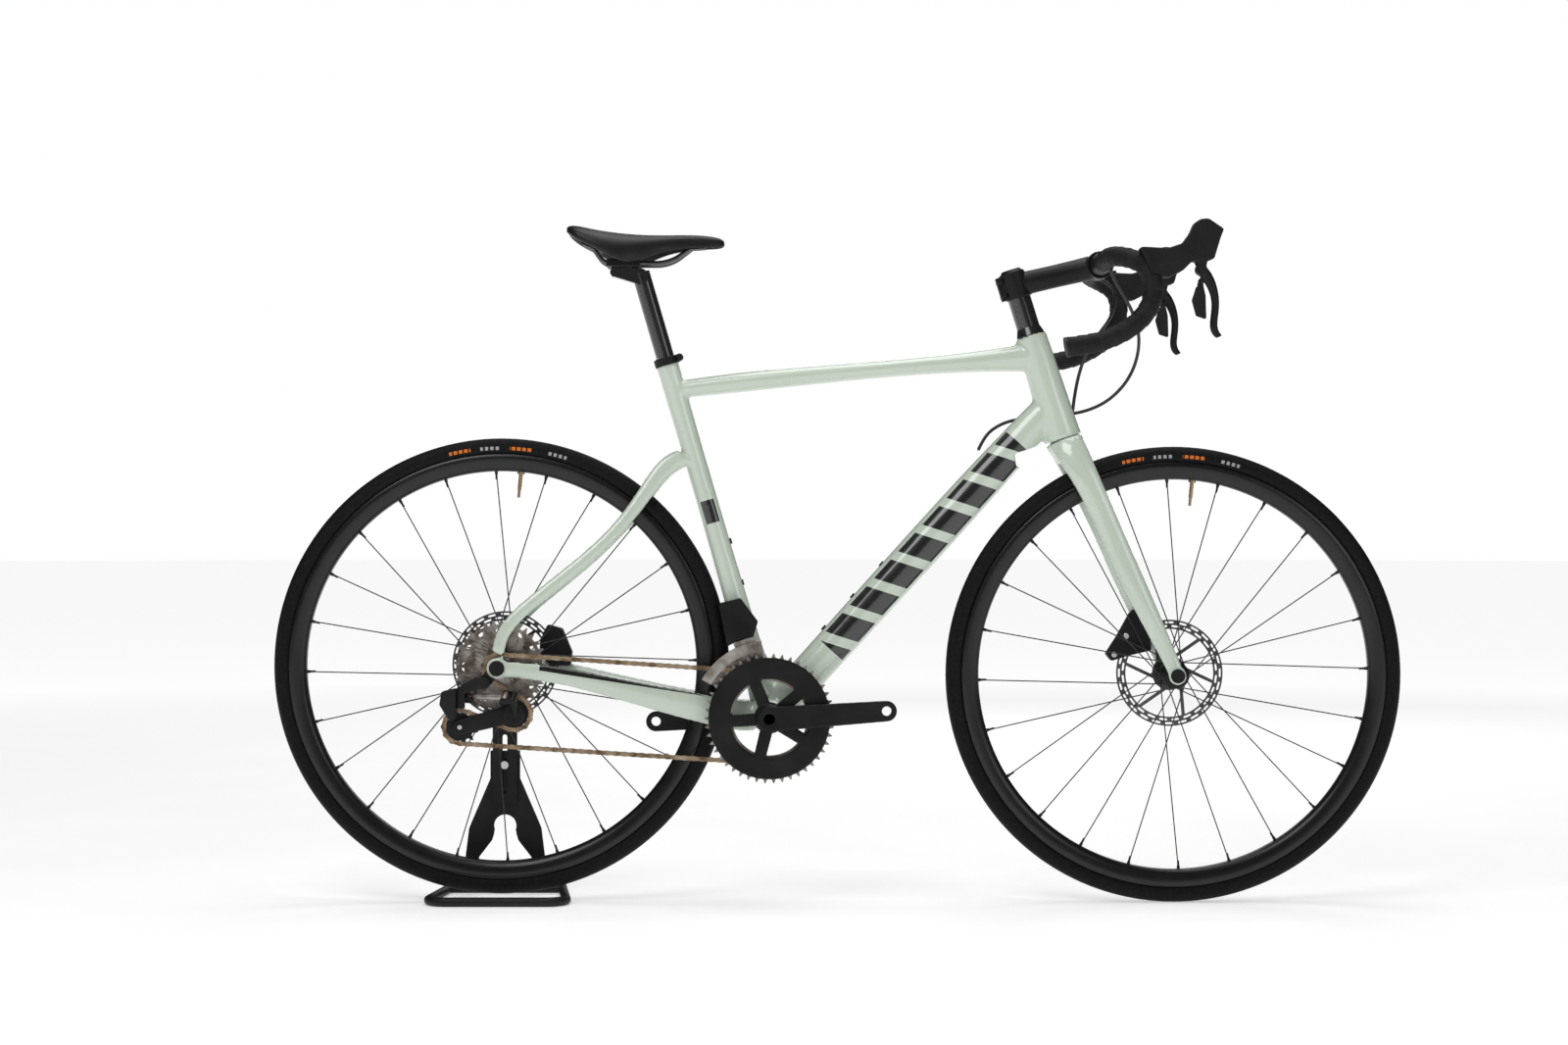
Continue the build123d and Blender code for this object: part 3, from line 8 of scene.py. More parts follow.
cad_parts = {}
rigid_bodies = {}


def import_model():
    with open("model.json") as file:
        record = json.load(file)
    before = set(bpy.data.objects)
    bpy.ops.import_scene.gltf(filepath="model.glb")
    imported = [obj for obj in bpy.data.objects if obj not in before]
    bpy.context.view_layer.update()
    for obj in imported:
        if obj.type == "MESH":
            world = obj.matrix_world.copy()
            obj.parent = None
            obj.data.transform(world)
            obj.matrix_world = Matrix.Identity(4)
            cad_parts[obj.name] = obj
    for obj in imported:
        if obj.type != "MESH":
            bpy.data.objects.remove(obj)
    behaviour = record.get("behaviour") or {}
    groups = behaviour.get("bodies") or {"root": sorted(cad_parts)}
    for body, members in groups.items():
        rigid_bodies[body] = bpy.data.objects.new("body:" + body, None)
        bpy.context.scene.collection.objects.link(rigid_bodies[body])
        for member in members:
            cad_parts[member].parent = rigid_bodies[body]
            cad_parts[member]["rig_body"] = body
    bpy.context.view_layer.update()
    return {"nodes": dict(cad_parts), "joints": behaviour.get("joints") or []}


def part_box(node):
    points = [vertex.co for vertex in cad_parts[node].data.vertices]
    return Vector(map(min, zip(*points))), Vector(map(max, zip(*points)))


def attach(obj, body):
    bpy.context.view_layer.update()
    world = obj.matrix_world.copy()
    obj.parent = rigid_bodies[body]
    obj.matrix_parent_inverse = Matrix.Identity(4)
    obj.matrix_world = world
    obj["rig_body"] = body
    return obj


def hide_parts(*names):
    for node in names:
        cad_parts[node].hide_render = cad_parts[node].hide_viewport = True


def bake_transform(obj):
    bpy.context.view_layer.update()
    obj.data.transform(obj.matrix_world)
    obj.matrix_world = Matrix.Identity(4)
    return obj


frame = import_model()
nodes = frame["nodes"]
joints = {joint["name"]: joint for joint in frame["joints"]}

# ---- Studio: camera, floor and lights ----
# A pale floor under soft boxes. The camera stands level with the middle of the bicycle, on its drive
# side, 4.3 m from the mid-plane, with a long lens.
camera_data = bpy.data.cameras.new("camera")
camera_data.lens = 66.24
camera = bpy.data.objects.new("camera", camera_data)
camera.location = (-0.0795, -4.3, 0.565)
camera.rotation_euler = (pi / 2, 0, 0)
bpy.context.scene.collection.objects.link(camera)
bpy.context.scene.camera = camera
bpy.context.scene.view_settings.view_transform = "Standard"

for name, place, aim, size, power in (
        ("key_light", (-1.6, -2.6, 3.4), (0, 0, 0.4), 2.0, 58),
        ("fill_light", (2.8, -3.0, 1.6), (0.2, 0, 0.5), 1.6, 16),
        ("top_light", (0.2, 0.2, 3.6), (0, 0, 0), 2.4, 58),
        ("back_light", (0.8, 3.6, 2.4), (0, 0, 0.5), 2.2, 26)):
    lamp = bpy.data.lights.new(name, "AREA")
    lamp.size = size
    lamp.energy = power
    lamp_object = bpy.data.objects.new(name, lamp)
    lamp_object.location = place
    lamp_object.rotation_euler = (Vector(aim) - Vector(place)).to_track_quat("-Z", "Y").to_euler()
    bpy.context.scene.collection.objects.link(lamp_object)

# The walls look white, but give the bicycle only a weak light, so that its black parts stay black.
wall_glow, room_light = 1.0, 0.04
world = bpy.data.worlds.new("studio")
world.use_nodes = True
sky = world.node_tree
seen = sky.nodes.new("ShaderNodeLightPath")
strength = sky.nodes.new("ShaderNodeMapRange")
strength.inputs["To Min"].default_value = room_light
strength.inputs["To Max"].default_value = wall_glow
sky.links.new(seen.outputs["Is Camera Ray"], strength.inputs["Value"])
sky.links.new(strength.outputs["Result"], sky.nodes["Background"].inputs["Strength"])
sky.nodes["Background"].inputs["Color"].default_value = (1.0, 1.0, 1.0, 1)
bpy.context.scene.world = world


class Signal:
    """A socket in a finish. Arithmetic on it adds Math nodes."""

    def __init__(self, finish, socket):
        self.finish, self.socket = finish, socket

    def math(self, operation, first, second=0.0):
        return self.finish.node("ShaderNodeMath", {"operation": operation}, {0: first, 1: second})

    def __add__(self, other):
        return self.math("ADD", self, other)

    def __sub__(self, other):
        return self.math("SUBTRACT", self, other)

    def __rsub__(self, other):
        return self.math("SUBTRACT", other, self)

    def __mul__(self, other):
        return self.math("MULTIPLY", self, other)

    def __truediv__(self, other):
        return self.math("DIVIDE", self, other)

    def __lt__(self, other):
        return self.math("LESS_THAN", self, other)

    def __gt__(self, other):
        return self.math("GREATER_THAN", self, other)

    def __abs__(self):
        return self.math("ABSOLUTE", self)

    __radd__ = __add__
    __rmul__ = __mul__


class Finish:
    """A material round one Principled shader, whose constant sockets are set when it is made."""

    def __init__(self, name, colour, **constants):
        self.material = bpy.data.materials.new(name)
        self.material.use_nodes = True
        self.tree = self.material.node_tree
        self.shader = self.tree.nodes["Principled BSDF"]
        self.shader.inputs["Base Color"].default_value = (*colour, 1)
        for socket, value in constants.items():
            self.shader.inputs[socket.replace("_", " ")].default_value = value

    def node(self, kind, settings, inputs, output=0):
        """Any node: its settings first, then the values or links of its sockets."""
        node = self.tree.nodes.new(kind)
        for key, value in settings.items():
            if key == "stops":
                ramp = node.color_ramp
                for position, shade in value[2:]:
                    ramp.elements.new(position)
                for element, (position, shade) in zip(ramp.elements, sorted(value)):
                    element.position = position
                    element.color = (*shade, 1)
            else:
                setattr(node, key, value)
        for key, value in inputs.items():
            if isinstance(value, Signal):
                self.tree.links.new(value.socket, node.inputs[key])
            else:
                node.inputs[key].default_value = value
        return Signal(self, node.outputs[output])

    def place(self):
        return self.node("ShaderNodeTexCoord", {}, {}, "Object")

    def noise(self, scale, detail=3.0, where=None):
        return self.node("ShaderNodeTexNoise", {}, {"Vector": where or self.place(), "Scale": scale,
                                                    "Detail": detail}, "Fac")

    def along(self, origin, direction):
        """Distance from a point along a direction, in metres."""
        offset = Vector(origin).dot(Vector(direction))
        reach = self.node("ShaderNodeVectorMath", {"operation": "DOT_PRODUCT"},
                          {0: self.place(), 1: tuple(direction)}, "Value")
        return reach - offset

    def spread(self, signal, low, high):
        """A signal from 0 to 1 stretched between two values."""
        return signal * (high - low) + low

    def mix(self, factor, first, second):
        inputs = {0: factor}
        for key, value in ((6, first), (7, second)):
            inputs[key] = value if isinstance(value, Signal) else (*value, 1)
        return self.node("ShaderNodeMix", {"data_type": "RGBA"}, inputs, 2)

    def ramp(self, factor, *stops):
        return self.node("ShaderNodeValToRGB", {"stops": stops}, {0: factor})

    def bump(self, height, strength, distance):
        normal = self.node("ShaderNodeBump", {}, {"Height": height, "Strength": strength,
                                                  "Distance": distance})
        return self.feed(Normal=normal)

    def feed(self, **signals):
        for name, signal in signals.items():
            self.tree.links.new(signal.socket, self.shader.inputs[name.replace("_", " ")])
        return self

    def put_on(self, *names):
        """Gives the finish to CAD pieces."""
        for name in names:
            materials = nodes[name].data.materials
            materials.clear()
            materials.append(self.material)


floor_finish = Finish("pale_floor", (0.9, 0.9, 0.9), Roughness=0.85, Emission_Color=(1, 1, 1, 1),
                      Emission_Strength=0.9)
floor_x, floor_y = floor_finish.along((0, 0, 0), (1, 0, 0)), floor_finish.along((0, 0, 0), (0, 1, 0))
from_centre = floor_finish.node("ShaderNodeMath", {"operation": "SQRT"},
                                {0: floor_x * floor_x + floor_y * floor_y})
floor_finish.feed(Base_Color=floor_finish.ramp(floor_finish.noise(3.0), (0.3, (0.88, 0.88, 0.88)),
                                               (0.7, (0.92, 0.92, 0.92))),
                  Emission_Color=floor_finish.ramp(from_centre / 10, (0.12, (0.46, 0.46, 0.46)),
                                                   (0.6, (1.0, 1.0, 1.0))))
bm = bmesh.new()
bmesh.ops.create_circle(bm, cap_ends=True, segments=64, radius=40.0)
floor_mesh = bpy.data.meshes.new("floor")
bm.to_mesh(floor_mesh)
bm.free()
floor_mesh.materials.append(floor_finish.material)
floor = bpy.data.objects.new("floor", floor_mesh)
bpy.context.scene.collection.objects.link(floor)

# ---- Frame and fork: carbon laminate under pale green lacquer ----
# Tubes are laid up and moulded into each other, so every join is a soft hollow. The lacquer is glossy,
# with slanted black bars along the down tube, a bar on the seat tube, a black guard strip along the
# drive-side chain stay and an oval cable port by the rear axle.
bottom_bracket = Vector(joints["crank_spin"]["pos_m"])
steer_foot = Vector(joints["steering_turn"]["pos_m"])
steer_up = Vector(joints["steering_turn"]["axis"])
seat_up = Vector(joints["seat_height"]["axis"])
rear_axle = Vector(joints["rear_wheel_spin"]["pos_m"])
front_axle = Vector(joints["front_wheel_spin"]["pos_m"])


def finished(name, source, finish, body, stands_for=(), smooth=True):
    """A bmesh or mesh becomes a named piece that rides on a body."""
    if isinstance(source, bmesh.types.BMesh):
        mesh = bpy.data.meshes.new(name)
        source.to_mesh(mesh)
        source.free()
    else:
        mesh = source
        mesh.name = name
    mesh.materials.clear()
    mesh.materials.append(finish.material)
    if smooth:
        mesh.shade_smooth()
    piece = bpy.data.objects.new(name, mesh)
    bpy.context.scene.collection.objects.link(piece)
    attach(piece, body)
    if stands_for:
        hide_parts(*stands_for)
    return piece


def baked(piece):
    """The mesh that a piece has once its modifiers are applied."""
    bpy.context.view_layer.update()
    evaluated = piece.evaluated_get(bpy.context.evaluated_depsgraph_get())
    return bpy.data.meshes.new_from_object(evaluated)


def smoothed(bm, *factors):
    """Every vertex is pulled towards its neighbours by each factor in turn, or pushed away."""
    for factor in factors:
        bmesh.ops.smooth_vert(bm, verts=bm.verts, factor=factor, use_axis_x=True, use_axis_y=True,
                              use_axis_z=True)


def softened(node, name, finish, voxel, relax=0, sink=0):
    """A CAD piece remade as one skin: its joins are relaxed and swell back, and then its edges sink."""
    mesh = nodes[node].data.copy()
    bm = bmesh.new()
    bm.from_mesh(mesh)
    bmesh.ops.remove_doubles(bm, verts=bm.verts, dist=1e-5)
    bm.to_mesh(mesh)
    bm.free()
    helper = bpy.data.objects.new(name + "_blank", mesh)
    bpy.context.scene.collection.objects.link(helper)
    remesh = helper.modifiers.new("skin", "REMESH")
    remesh.mode = "VOXEL"
    remesh.voxel_size = voxel
    remesh.adaptivity = 0.0
    skin = baked(helper)
    bpy.data.objects.remove(helper)
    bm = bmesh.new()
    bm.from_mesh(skin)
    for _ in range(relax):
        smoothed(bm, 0.6, -0.62)
    for _ in range(sink):
        smoothed(bm, 0.5)
    return finished(name, bm, finish, nodes[node]["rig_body"], (node,))


lacquer = Finish("green_lacquer", (0.6, 0.7, 0.6), Roughness=0.3, Coat_Weight=1.0, Coat_Roughness=0.04,
                 IOR=1.5)
down_tube = (steer_foot + steer_up * 0.054 - bottom_bracket)
down_line = down_tube.normalized()
down_across = Vector((-down_line.z, 0, down_line.x))
reach = lacquer.along(bottom_bracket, down_line)
across = lacquer.along(bottom_bracket, down_across)
bar_slant, bar_pitch, bar_share = 0.45, 0.0535, 0.7
bars_start, bars_end, bars_half_height = 0.135, 0.55, 0.0235
slant = reach + across * bar_slant
bar_phase = lacquer.node("ShaderNodeMath", {"operation": "FRACT"}, {0: slant / bar_pitch})
bars = (bar_phase < bar_share) * (reach > bars_start) * (reach < bars_end)
bars = bars * (abs(across) < bars_half_height)
badge_start, badge_end, badge_half_width = 0.30, 0.335, 0.010
seat_reach = lacquer.along(bottom_bracket, seat_up)
seat_across = lacquer.along(bottom_bracket, Vector((seat_up.z, 0, -seat_up.x)))
badge = (abs(seat_across) < badge_half_width) * (seat_reach > badge_start) * (seat_reach < badge_end)
guard_start, guard_end, guard_top = 0.1, 0.345, 0.04
guard_edge, guard_taper = 0.0155, 0.02
stay_line = (rear_axle - bottom_bracket).normalized()
stay_reach = lacquer.along(bottom_bracket, stay_line)
stay_across = lacquer.along(bottom_bracket, Vector((stay_line.z, 0, -stay_line.x)))
drive_side = lacquer.along((0, 0, 0), (0, -1, 0)) > 0.03
guard = drive_side * (stay_reach > guard_start) * (stay_reach < guard_end)
guard = guard * (stay_across > guard_edge - stay_reach * guard_taper) * (stay_across < guard_top)
port_centre = rear_axle + Vector((0.0115, 0, 0.020))
port_half_width, port_half_height = 0.0048, 0.0032
port_x = lacquer.along(port_centre, (1, 0, 0)) / port_half_width
port_z = lacquer.along(port_centre, (0, 0, 1)) / port_half_height
port = drive_side * ((port_x * port_x + port_z * port_z) < 1.0)
printed = bars + badge + guard + port
tone = lacquer.ramp(lacquer.noise(2.2, 2.0), (0.35, (0.6, 0.69, 0.585)), (0.65, (0.65, 0.735, 0.63)))
lacquer.feed(Base_Color=lacquer.mix(printed, tone, (0.012, 0.012, 0.013)),
             Roughness=lacquer.spread(lacquer.noise(55.0), 0.24, 0.34))

softened("frame", "frame_shell", lacquer, 0.0024, relax=24, sink=3)
softened("fork", "fork_shell", lacquer, 0.0024, relax=20, sink=3)

# ---- Tyres ----
# Black rubber on a round casing, with fine slanted sipes on the shoulders and, on each flank, a short
# run of orange and grey dashes printed round it.
wheel_ends = {"front": front_axle, "rear": rear_axle}
tyre_rubber = {}
label_low, label_high, dashes_per_radian = 0.3215, 0.3265, 41.0
shoulder_low, shoulder_high = 0.3285, 0.3355
for end, axle in wheel_ends.items():
    rubber = Finish(f"{end}_tyre_rubber", (0.022, 0.022, 0.023), Roughness=0.7, Specular_IOR_Level=0.15)
    x, z = rubber.along(axle, (1, 0, 0)), rubber.along(axle, (0, 0, 1))
    radius = rubber.node("ShaderNodeMath", {"operation": "SQRT"}, {0: x * x + z * z})
    turn = rubber.node("ShaderNodeMath", {"operation": "ARCTAN2"}, {0: x, 1: z})
    side = abs(rubber.along(axle, (0, 1, 0)))
    band = (radius > label_low) * (radius < label_high)
    dash_phase = rubber.node("ShaderNodeMath", {"operation": "FRACT"}, {0: turn * dashes_per_radian})
    orange = band * (dash_phase < 0.72) * (abs(abs(turn + 0.05) - 0.14) < 0.05)
    grey = band * (dash_phase < 0.6) * (abs(abs(turn - 0.105) - 0.155) < 0.045)
    speck = rubber.ramp(rubber.noise(160.0), (0.35, (0.004, 0.004, 0.0043)), (0.7, (0.008, 0.008, 0.0084)))
    colour = rubber.mix(orange, speck, (0.75, 0.19, 0.03))
    rubber.feed(Base_Color=rubber.mix(grey, colour, (0.4, 0.4, 0.4)),
                Roughness=rubber.spread(rubber.noise(90.0), 0.5, 0.7))
    sipes = rubber.node("ShaderNodeMath", {"operation": "SINE"}, {0: turn * 900.0 + side * 1400.0})
    shoulder = (radius > shoulder_low) * (radius < shoulder_high)
    rubber.bump(sipes * shoulder * 0.5 + rubber.noise(700.0) * 0.3, 0.35, 0.0006)
    tyre_rubber[end] = rubber


def ring(profile, axle, steps):
    """A closed outline of (radius, y) pairs spun about a cross-wise axle."""
    bm = bmesh.new()
    verts = [bm.verts.new((axle.x, y, axle.z + radius)) for radius, y in profile]
    edges = [bm.edges.new(pair) for pair in zip(verts, verts[1:] + verts[:1])]
    bmesh.ops.spin(bm, geom=verts + edges, cent=axle, axis=(0, 1, 0), angle=2 * pi, steps=steps,
                   use_merge=True)
    bmesh.ops.recalc_face_normals(bm, faces=bm.faces)
    return bm


rim_low, rim_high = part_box("front_rim")
rim_radius = (rim_high.z - rim_low.z) / 2
rim_half = (rim_high.y - rim_low.y) / 2
tyre_low, tyre_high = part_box("front_tyre")
tyre_radius = (tyre_high.z - tyre_low.z) / 2
casing = (tyre_high.y - tyre_low.y) / 2
for end, axle in wheel_ends.items():
    centre = tyre_radius - casing
    outline = [(centre + casing * cos(a), casing * sin(a)) for a in
               [radians(-140 + 14 * k) for k in range(21)]]
    outline += [(rim_radius - 0.005, casing * 0.62), (rim_radius - 0.005, -casing * 0.62)]
    finished(f"{end}_tyre_casing", ring(outline, axle, 180), tyre_rubber[end], f"{end}_wheel",
             (f"{end}_tyre",))

# ---- Rims ----
# Deep black carbon rims: a hooked edge that the tyre seats in, a smooth bulged flank and a rounded
# spoke bed, with a satin clear coat.
rim_carbon = Finish("satin_rim_carbon", (0.018, 0.018, 0.019), Roughness=0.36, Coat_Weight=0.3,
                    Coat_Roughness=0.2, Specular_IOR_Level=0.3)
rim_tone = rim_carbon.ramp(rim_carbon.noise(24.0), (0.3, (0.004, 0.004, 0.0043)),
                           (0.7, (0.008, 0.008, 0.0084)))
rim_carbon.feed(Base_Color=rim_tone, Roughness=rim_carbon.spread(rim_carbon.noise(70.0), 0.28, 0.42))
rim_bed = rim_radius - 0.0255
for end, axle in wheel_ends.items():
    flank = [(rim_bed, 0.004), (rim_bed + 0.0012, 0.0075), (rim_bed + 0.005, 0.0108),
             (rim_bed + 0.011, 0.0128), (rim_bed + 0.018, rim_half), (rim_radius - 0.0008, rim_half),
             (rim_radius, rim_half - 0.0008), (rim_radius, rim_half - 0.0028),
             (rim_radius - 0.004, rim_half - 0.0032)]
    outline = flank + [(radius, -y) for radius, y in reversed(flank)]
    finished(f"{end}_rim_body", ring(outline, axle, 180), rim_carbon, f"{end}_wheel",
             (f"{end}_rim",))

# ---- Spokes, nipples and valves ----
# Dark drawn-steel spokes laced from the hub flanges, each screwed into an anodised nipple at the rim,
# with a long brass valve stem between two of them.
spoke_steel = Finish("dark_spoke_steel", (0.05, 0.05, 0.052), Metallic=0.85, Roughness=0.35)
spoke_steel.feed(Base_Color=spoke_steel.ramp(spoke_steel.noise(40.0), (0.3, (0.035, 0.035, 0.037)),
                                             (0.7, (0.07, 0.07, 0.073))),
                 Roughness=spoke_steel.spread(spoke_steel.noise(120.0), 0.28, 0.42))
spoke_steel.put_on("front_spokes", "rear_spokes")
nipple_black = Finish("nipple_anodising", (0.02, 0.02, 0.021), Metallic=0.6, Roughness=0.4)
nipple_black.feed(Roughness=nipple_black.spread(nipple_black.noise(200.0), 0.3, 0.5))
spoke_count = 24
first_spoke = 91.7
valve_angle = 84.3


def spoke_end(axle, angle, radius, y):
    return Vector((axle.x + radius * cos(radians(angle)), y, axle.z + radius * sin(radians(angle))))


def add_turned(bm, foot, tip, foot_radius, tip_radius, segments=10):
    """A short round bar or cone between two points."""
    run = tip - foot
    turn = run.to_track_quat("Z", "Y").to_matrix().to_4x4()
    bmesh.ops.create_cone(bm, cap_ends=True, segments=segments, radius1=foot_radius, radius2=tip_radius,
                          depth=run.length, matrix=Matrix.Translation((foot + tip) / 2) @ turn)


valve_brass = Finish("valve_brass", (0.42, 0.3, 0.17), Metallic=0.9, Roughness=0.35)
valve_brass.feed(Roughness=valve_brass.spread(valve_brass.noise(260.0), 0.26, 0.46))
for end, axle in wheel_ends.items():
    bm = bmesh.new()
    for i in range(spoke_count):
        angle = first_spoke + i * 360 / spoke_count
        y = -0.003 if i % 2 else 0.003
        seat = spoke_end(axle, angle, rim_bed + 0.001, y)
        add_turned(bm, seat, spoke_end(axle, angle, rim_bed - 0.004, y * 1.1), 0.0026, 0.0023)
        add_turned(bm, seat, spoke_end(axle, angle, rim_bed - 0.012, y * 1.3), 0.0019, 0.0016, 8)
    finished(f"{end}_nipples", bm, nipple_black, f"{end}_wheel", smooth=False)
    bm = bmesh.new()
    add_turned(bm, spoke_end(axle, valve_angle, rim_bed + 0.001, 0),
               spoke_end(axle, valve_angle, rim_bed - 0.003, 0), 0.0055, 0.0055, 12)
    add_turned(bm, spoke_end(axle, valve_angle, rim_bed, 0),
               spoke_end(axle, valve_angle, rim_bed - 0.026, 0), 0.003, 0.0029, 12)
    add_turned(bm, spoke_end(axle, valve_angle, rim_bed - 0.026, 0),
               spoke_end(axle, valve_angle, rim_bed - 0.038, 0), 0.0023, 0.0021, 12)
    finished(f"{end}_valve", bm, valve_brass, f"{end}_wheel", smooth=False)

# ---- Anodised and moulded black parts ----
# Hubs, cranks, stem, calipers and derailleur bodies are aluminium, blasted and anodised black, so they
# are satin, a little mottled, and rubbed lighter here and there.
satin_black = Finish("satin_anodising", (0.02, 0.02, 0.021), Metallic=0.35, Roughness=0.42,
                     Specular_IOR_Level=0.3)
satin_black.feed(Base_Color=satin_black.ramp(satin_black.noise(18.0), (0.3, (0.007, 0.007, 0.0075)),
                                             (0.75, (0.018, 0.018, 0.019))),
                 Roughness=satin_black.spread(satin_black.noise(60.0), 0.34, 0.52))
satin_black.bump(satin_black.noise(1400.0), 0.12, 0.0002)
satin_black.put_on("front_hub", "rear_hub", "crank_right", "crank_left", "stem", "stem_faceplate",
                   "front_caliper", "rear_caliper", "fd_motor", "rd_mount", "rd_knuckle", "rd_cage",
                   "seat_clamp", "saddle_clamp", "bottom_bracket_cups", "derailleur_hanger",
                   "front_thru_axle", "rear_thru_axle", "handlebar")
for part in ("stem", "stem_faceplate", "front_caliper", "rear_caliper", "fd_motor", "rd_mount",
             "rd_knuckle", "rd_cage", "crank_left", "seat_clamp", "saddle_clamp", "front_hub", "rear_hub"):
    softened(part, f"{part}_body", satin_black, 0.0009, relax=2, sink=3)
softened("crank_right", "crank_right_body", satin_black, 0.0014, relax=2, sink=2)
moulded_black = Finish("moulded_plastic", (0.02, 0.02, 0.02), Roughness=0.5, Specular_IOR_Level=0.25)
moulded_black.feed(Base_Color=moulded_black.ramp(moulded_black.noise(30.0), (0.3, (0.008, 0.008, 0.008)),
                                                 (0.7, (0.016, 0.016, 0.0165))),
                   Roughness=moulded_black.spread(moulded_black.noise(80.0), 0.42, 0.6))
moulded_black.bump(moulded_black.noise(1800.0), 0.15, 0.0002)
moulded_black.put_on("rd_battery", "rd_pulley_upper", "rd_pulley_lower", "saddle_shell",
                     "shift_paddle_left", "shift_paddle_right", "bar_end_plugs")
softened("rd_battery", "rd_battery_case", moulded_black, 0.0009, relax=2, sink=4)

# ---- Steel: rotors, cogs, rings and bolts ----
# Rotors are dark ground steel. Cogs and rings are nickel-plated but grey-brown with oil and road dust,
# lighter and darker in random patches. Bolts are plain bright steel.
rotor_steel = Finish("rotor_steel", (0.12, 0.12, 0.125), Metallic=1.0, Roughness=0.36)
rotor_steel.feed(Base_Color=rotor_steel.ramp(rotor_steel.noise(14.0), (0.3, (0.07, 0.07, 0.073)),
                                             (0.7, (0.16, 0.16, 0.165))),
                 Roughness=rotor_steel.spread(rotor_steel.noise(300.0), 0.28, 0.46))
rotor_steel.put_on("front_rotor", "rear_rotor", "headset_bearings")
oiled_steel = Finish("oiled_steel", (0.3, 0.27, 0.24), Metallic=0.9, Roughness=0.42)
grime = oiled_steel.noise(46.0, 6.0)
oiled_steel.feed(Base_Color=oiled_steel.ramp(grime, (0.36, (0.13, 0.105, 0.085)),
                                             (0.5, (0.3, 0.265, 0.235)), (0.66, (0.5, 0.48, 0.45))),
                 Roughness=oiled_steel.spread(oiled_steel.noise(150.0), 0.3, 0.58))
oiled_steel.bump(oiled_steel.noise(600.0), 0.2, 0.0003)
oiled_steel.put_on("cassette", "freehub_body", "chainring_inner", "rd_links", "fd_cage")
ring_steel = Finish("ring_steel", (0.32, 0.31, 0.29), Metallic=0.9, Roughness=0.38)
ring_steel.feed(Base_Color=ring_steel.ramp(ring_steel.noise(40.0, 5.0), (0.35, (0.2, 0.18, 0.16)),
                                           (0.65, (0.42, 0.41, 0.39))),
                Roughness=ring_steel.spread(ring_steel.noise(120.0), 0.3, 0.5))
ring_steel.put_on("chainring_outer")
bright_steel = Finish("bright_bolt_steel", (0.62, 0.62, 0.62), Metallic=1.0, Roughness=0.24)
bright_steel.feed(Roughness=bright_steel.spread(bright_steel.noise(200.0), 0.18, 0.34))
bright_steel.put_on("stand_bolt")
black_bolt = Finish("blackened_bolt_steel", (0.03, 0.03, 0.031), Metallic=0.8, Roughness=0.4)
black_bolt.feed(Roughness=black_bolt.spread(black_bolt.noise(200.0), 0.32, 0.5))
black_bolt.put_on("frame_bolts", "steering_bolts")

# ---- Bolt heads ----
# Round steel heads with a round sunk socket: two on the front caliper, one across the seat clamp, and one
# on the outer cage plate over each pulley.
bolt_heads = [("caliper_bolt_upper", "steering", front_axle + Vector((-0.066, 0.030, 0.056)), 0.0042),
              ("caliper_bolt_lower", "steering", front_axle + Vector((-0.084, 0.030, 0.028)), 0.0042)]
clamp_low, clamp_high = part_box("seat_clamp")
clamp_middle = (clamp_low + clamp_high) / 2
clamp_bolt = Vector((clamp_low.x + 0.007, clamp_middle.y - 0.007, clamp_middle.z))
bolt_heads.append(("seat_clamp_bolt", "bike", clamp_bolt, 0.0036))
cage_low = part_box("rd_cage")[0]
for name in ("upper", "lower"):
    pulley = Vector(joints[f"{name}_pulley_spin"]["pos_m"])
    bolt_heads.append((f"{name}_pulley_bolt", "rd_cage", Vector((pulley.x, cage_low.y, pulley.z)), 0.0034))
for name, body, place, radius in bolt_heads:
    bm = bmesh.new()
    bmesh.ops.create_circle(bm, cap_ends=True, segments=24, radius=radius)
    top = bmesh.ops.extrude_face_region(bm, geom=list(bm.faces))["geom"]
    bmesh.ops.translate(bm, verts=[v for v in top if isinstance(v, bmesh.types.BMVert)],
                        vec=(0, 0, radius * 0.55))
    cap = [f for f in top if isinstance(f, bmesh.types.BMFace)]
    bmesh.ops.inset_region(bm, faces=cap, thickness=radius * 0.16, depth=radius * 0.1)
    bmesh.ops.inset_region(bm, faces=cap, thickness=radius * 0.34, depth=0.0)
    bmesh.ops.inset_region(bm, faces=cap, thickness=radius * 0.02, depth=-radius * 0.4)
    facing = Matrix.Rotation(pi / 2, 4, "X")
    bmesh.ops.transform(bm, matrix=Matrix.Translation(place) @ facing, verts=bm.verts)
    bmesh.ops.recalc_face_normals(bm, faces=bm.faces)
    finished(name, bm, bright_steel, body, smooth=False)

# ---- Glossy carbon: seatpost, spacers and saddle rails ----
# Woven carbon under clear lacquer: a fine twill shows as light and dark squares in the gloss.
gloss_carbon = Finish("gloss_carbon", (0.02, 0.02, 0.02), Roughness=0.3, Coat_Weight=1.0,
                      Coat_Roughness=0.05)
warp = gloss_carbon.node("ShaderNodeTexWave", {"bands_direction": "DIAGONAL"},
                         {"Vector": gloss_carbon.place(), "Scale": 110.0, "Distortion": 0.6}, "Fac")
weft = gloss_carbon.node("ShaderNodeTexWave", {"bands_direction": "Z"},
                         {"Vector": gloss_carbon.place(), "Scale": 90.0, "Distortion": 0.6}, "Fac")
gloss_carbon.feed(Base_Color=gloss_carbon.ramp(warp * weft, (0.1, (0.008, 0.008, 0.009)),
                                               (0.8, (0.035, 0.033, 0.032))))
gloss_carbon.put_on("seatpost", "headset_spacers", "saddle_rails")

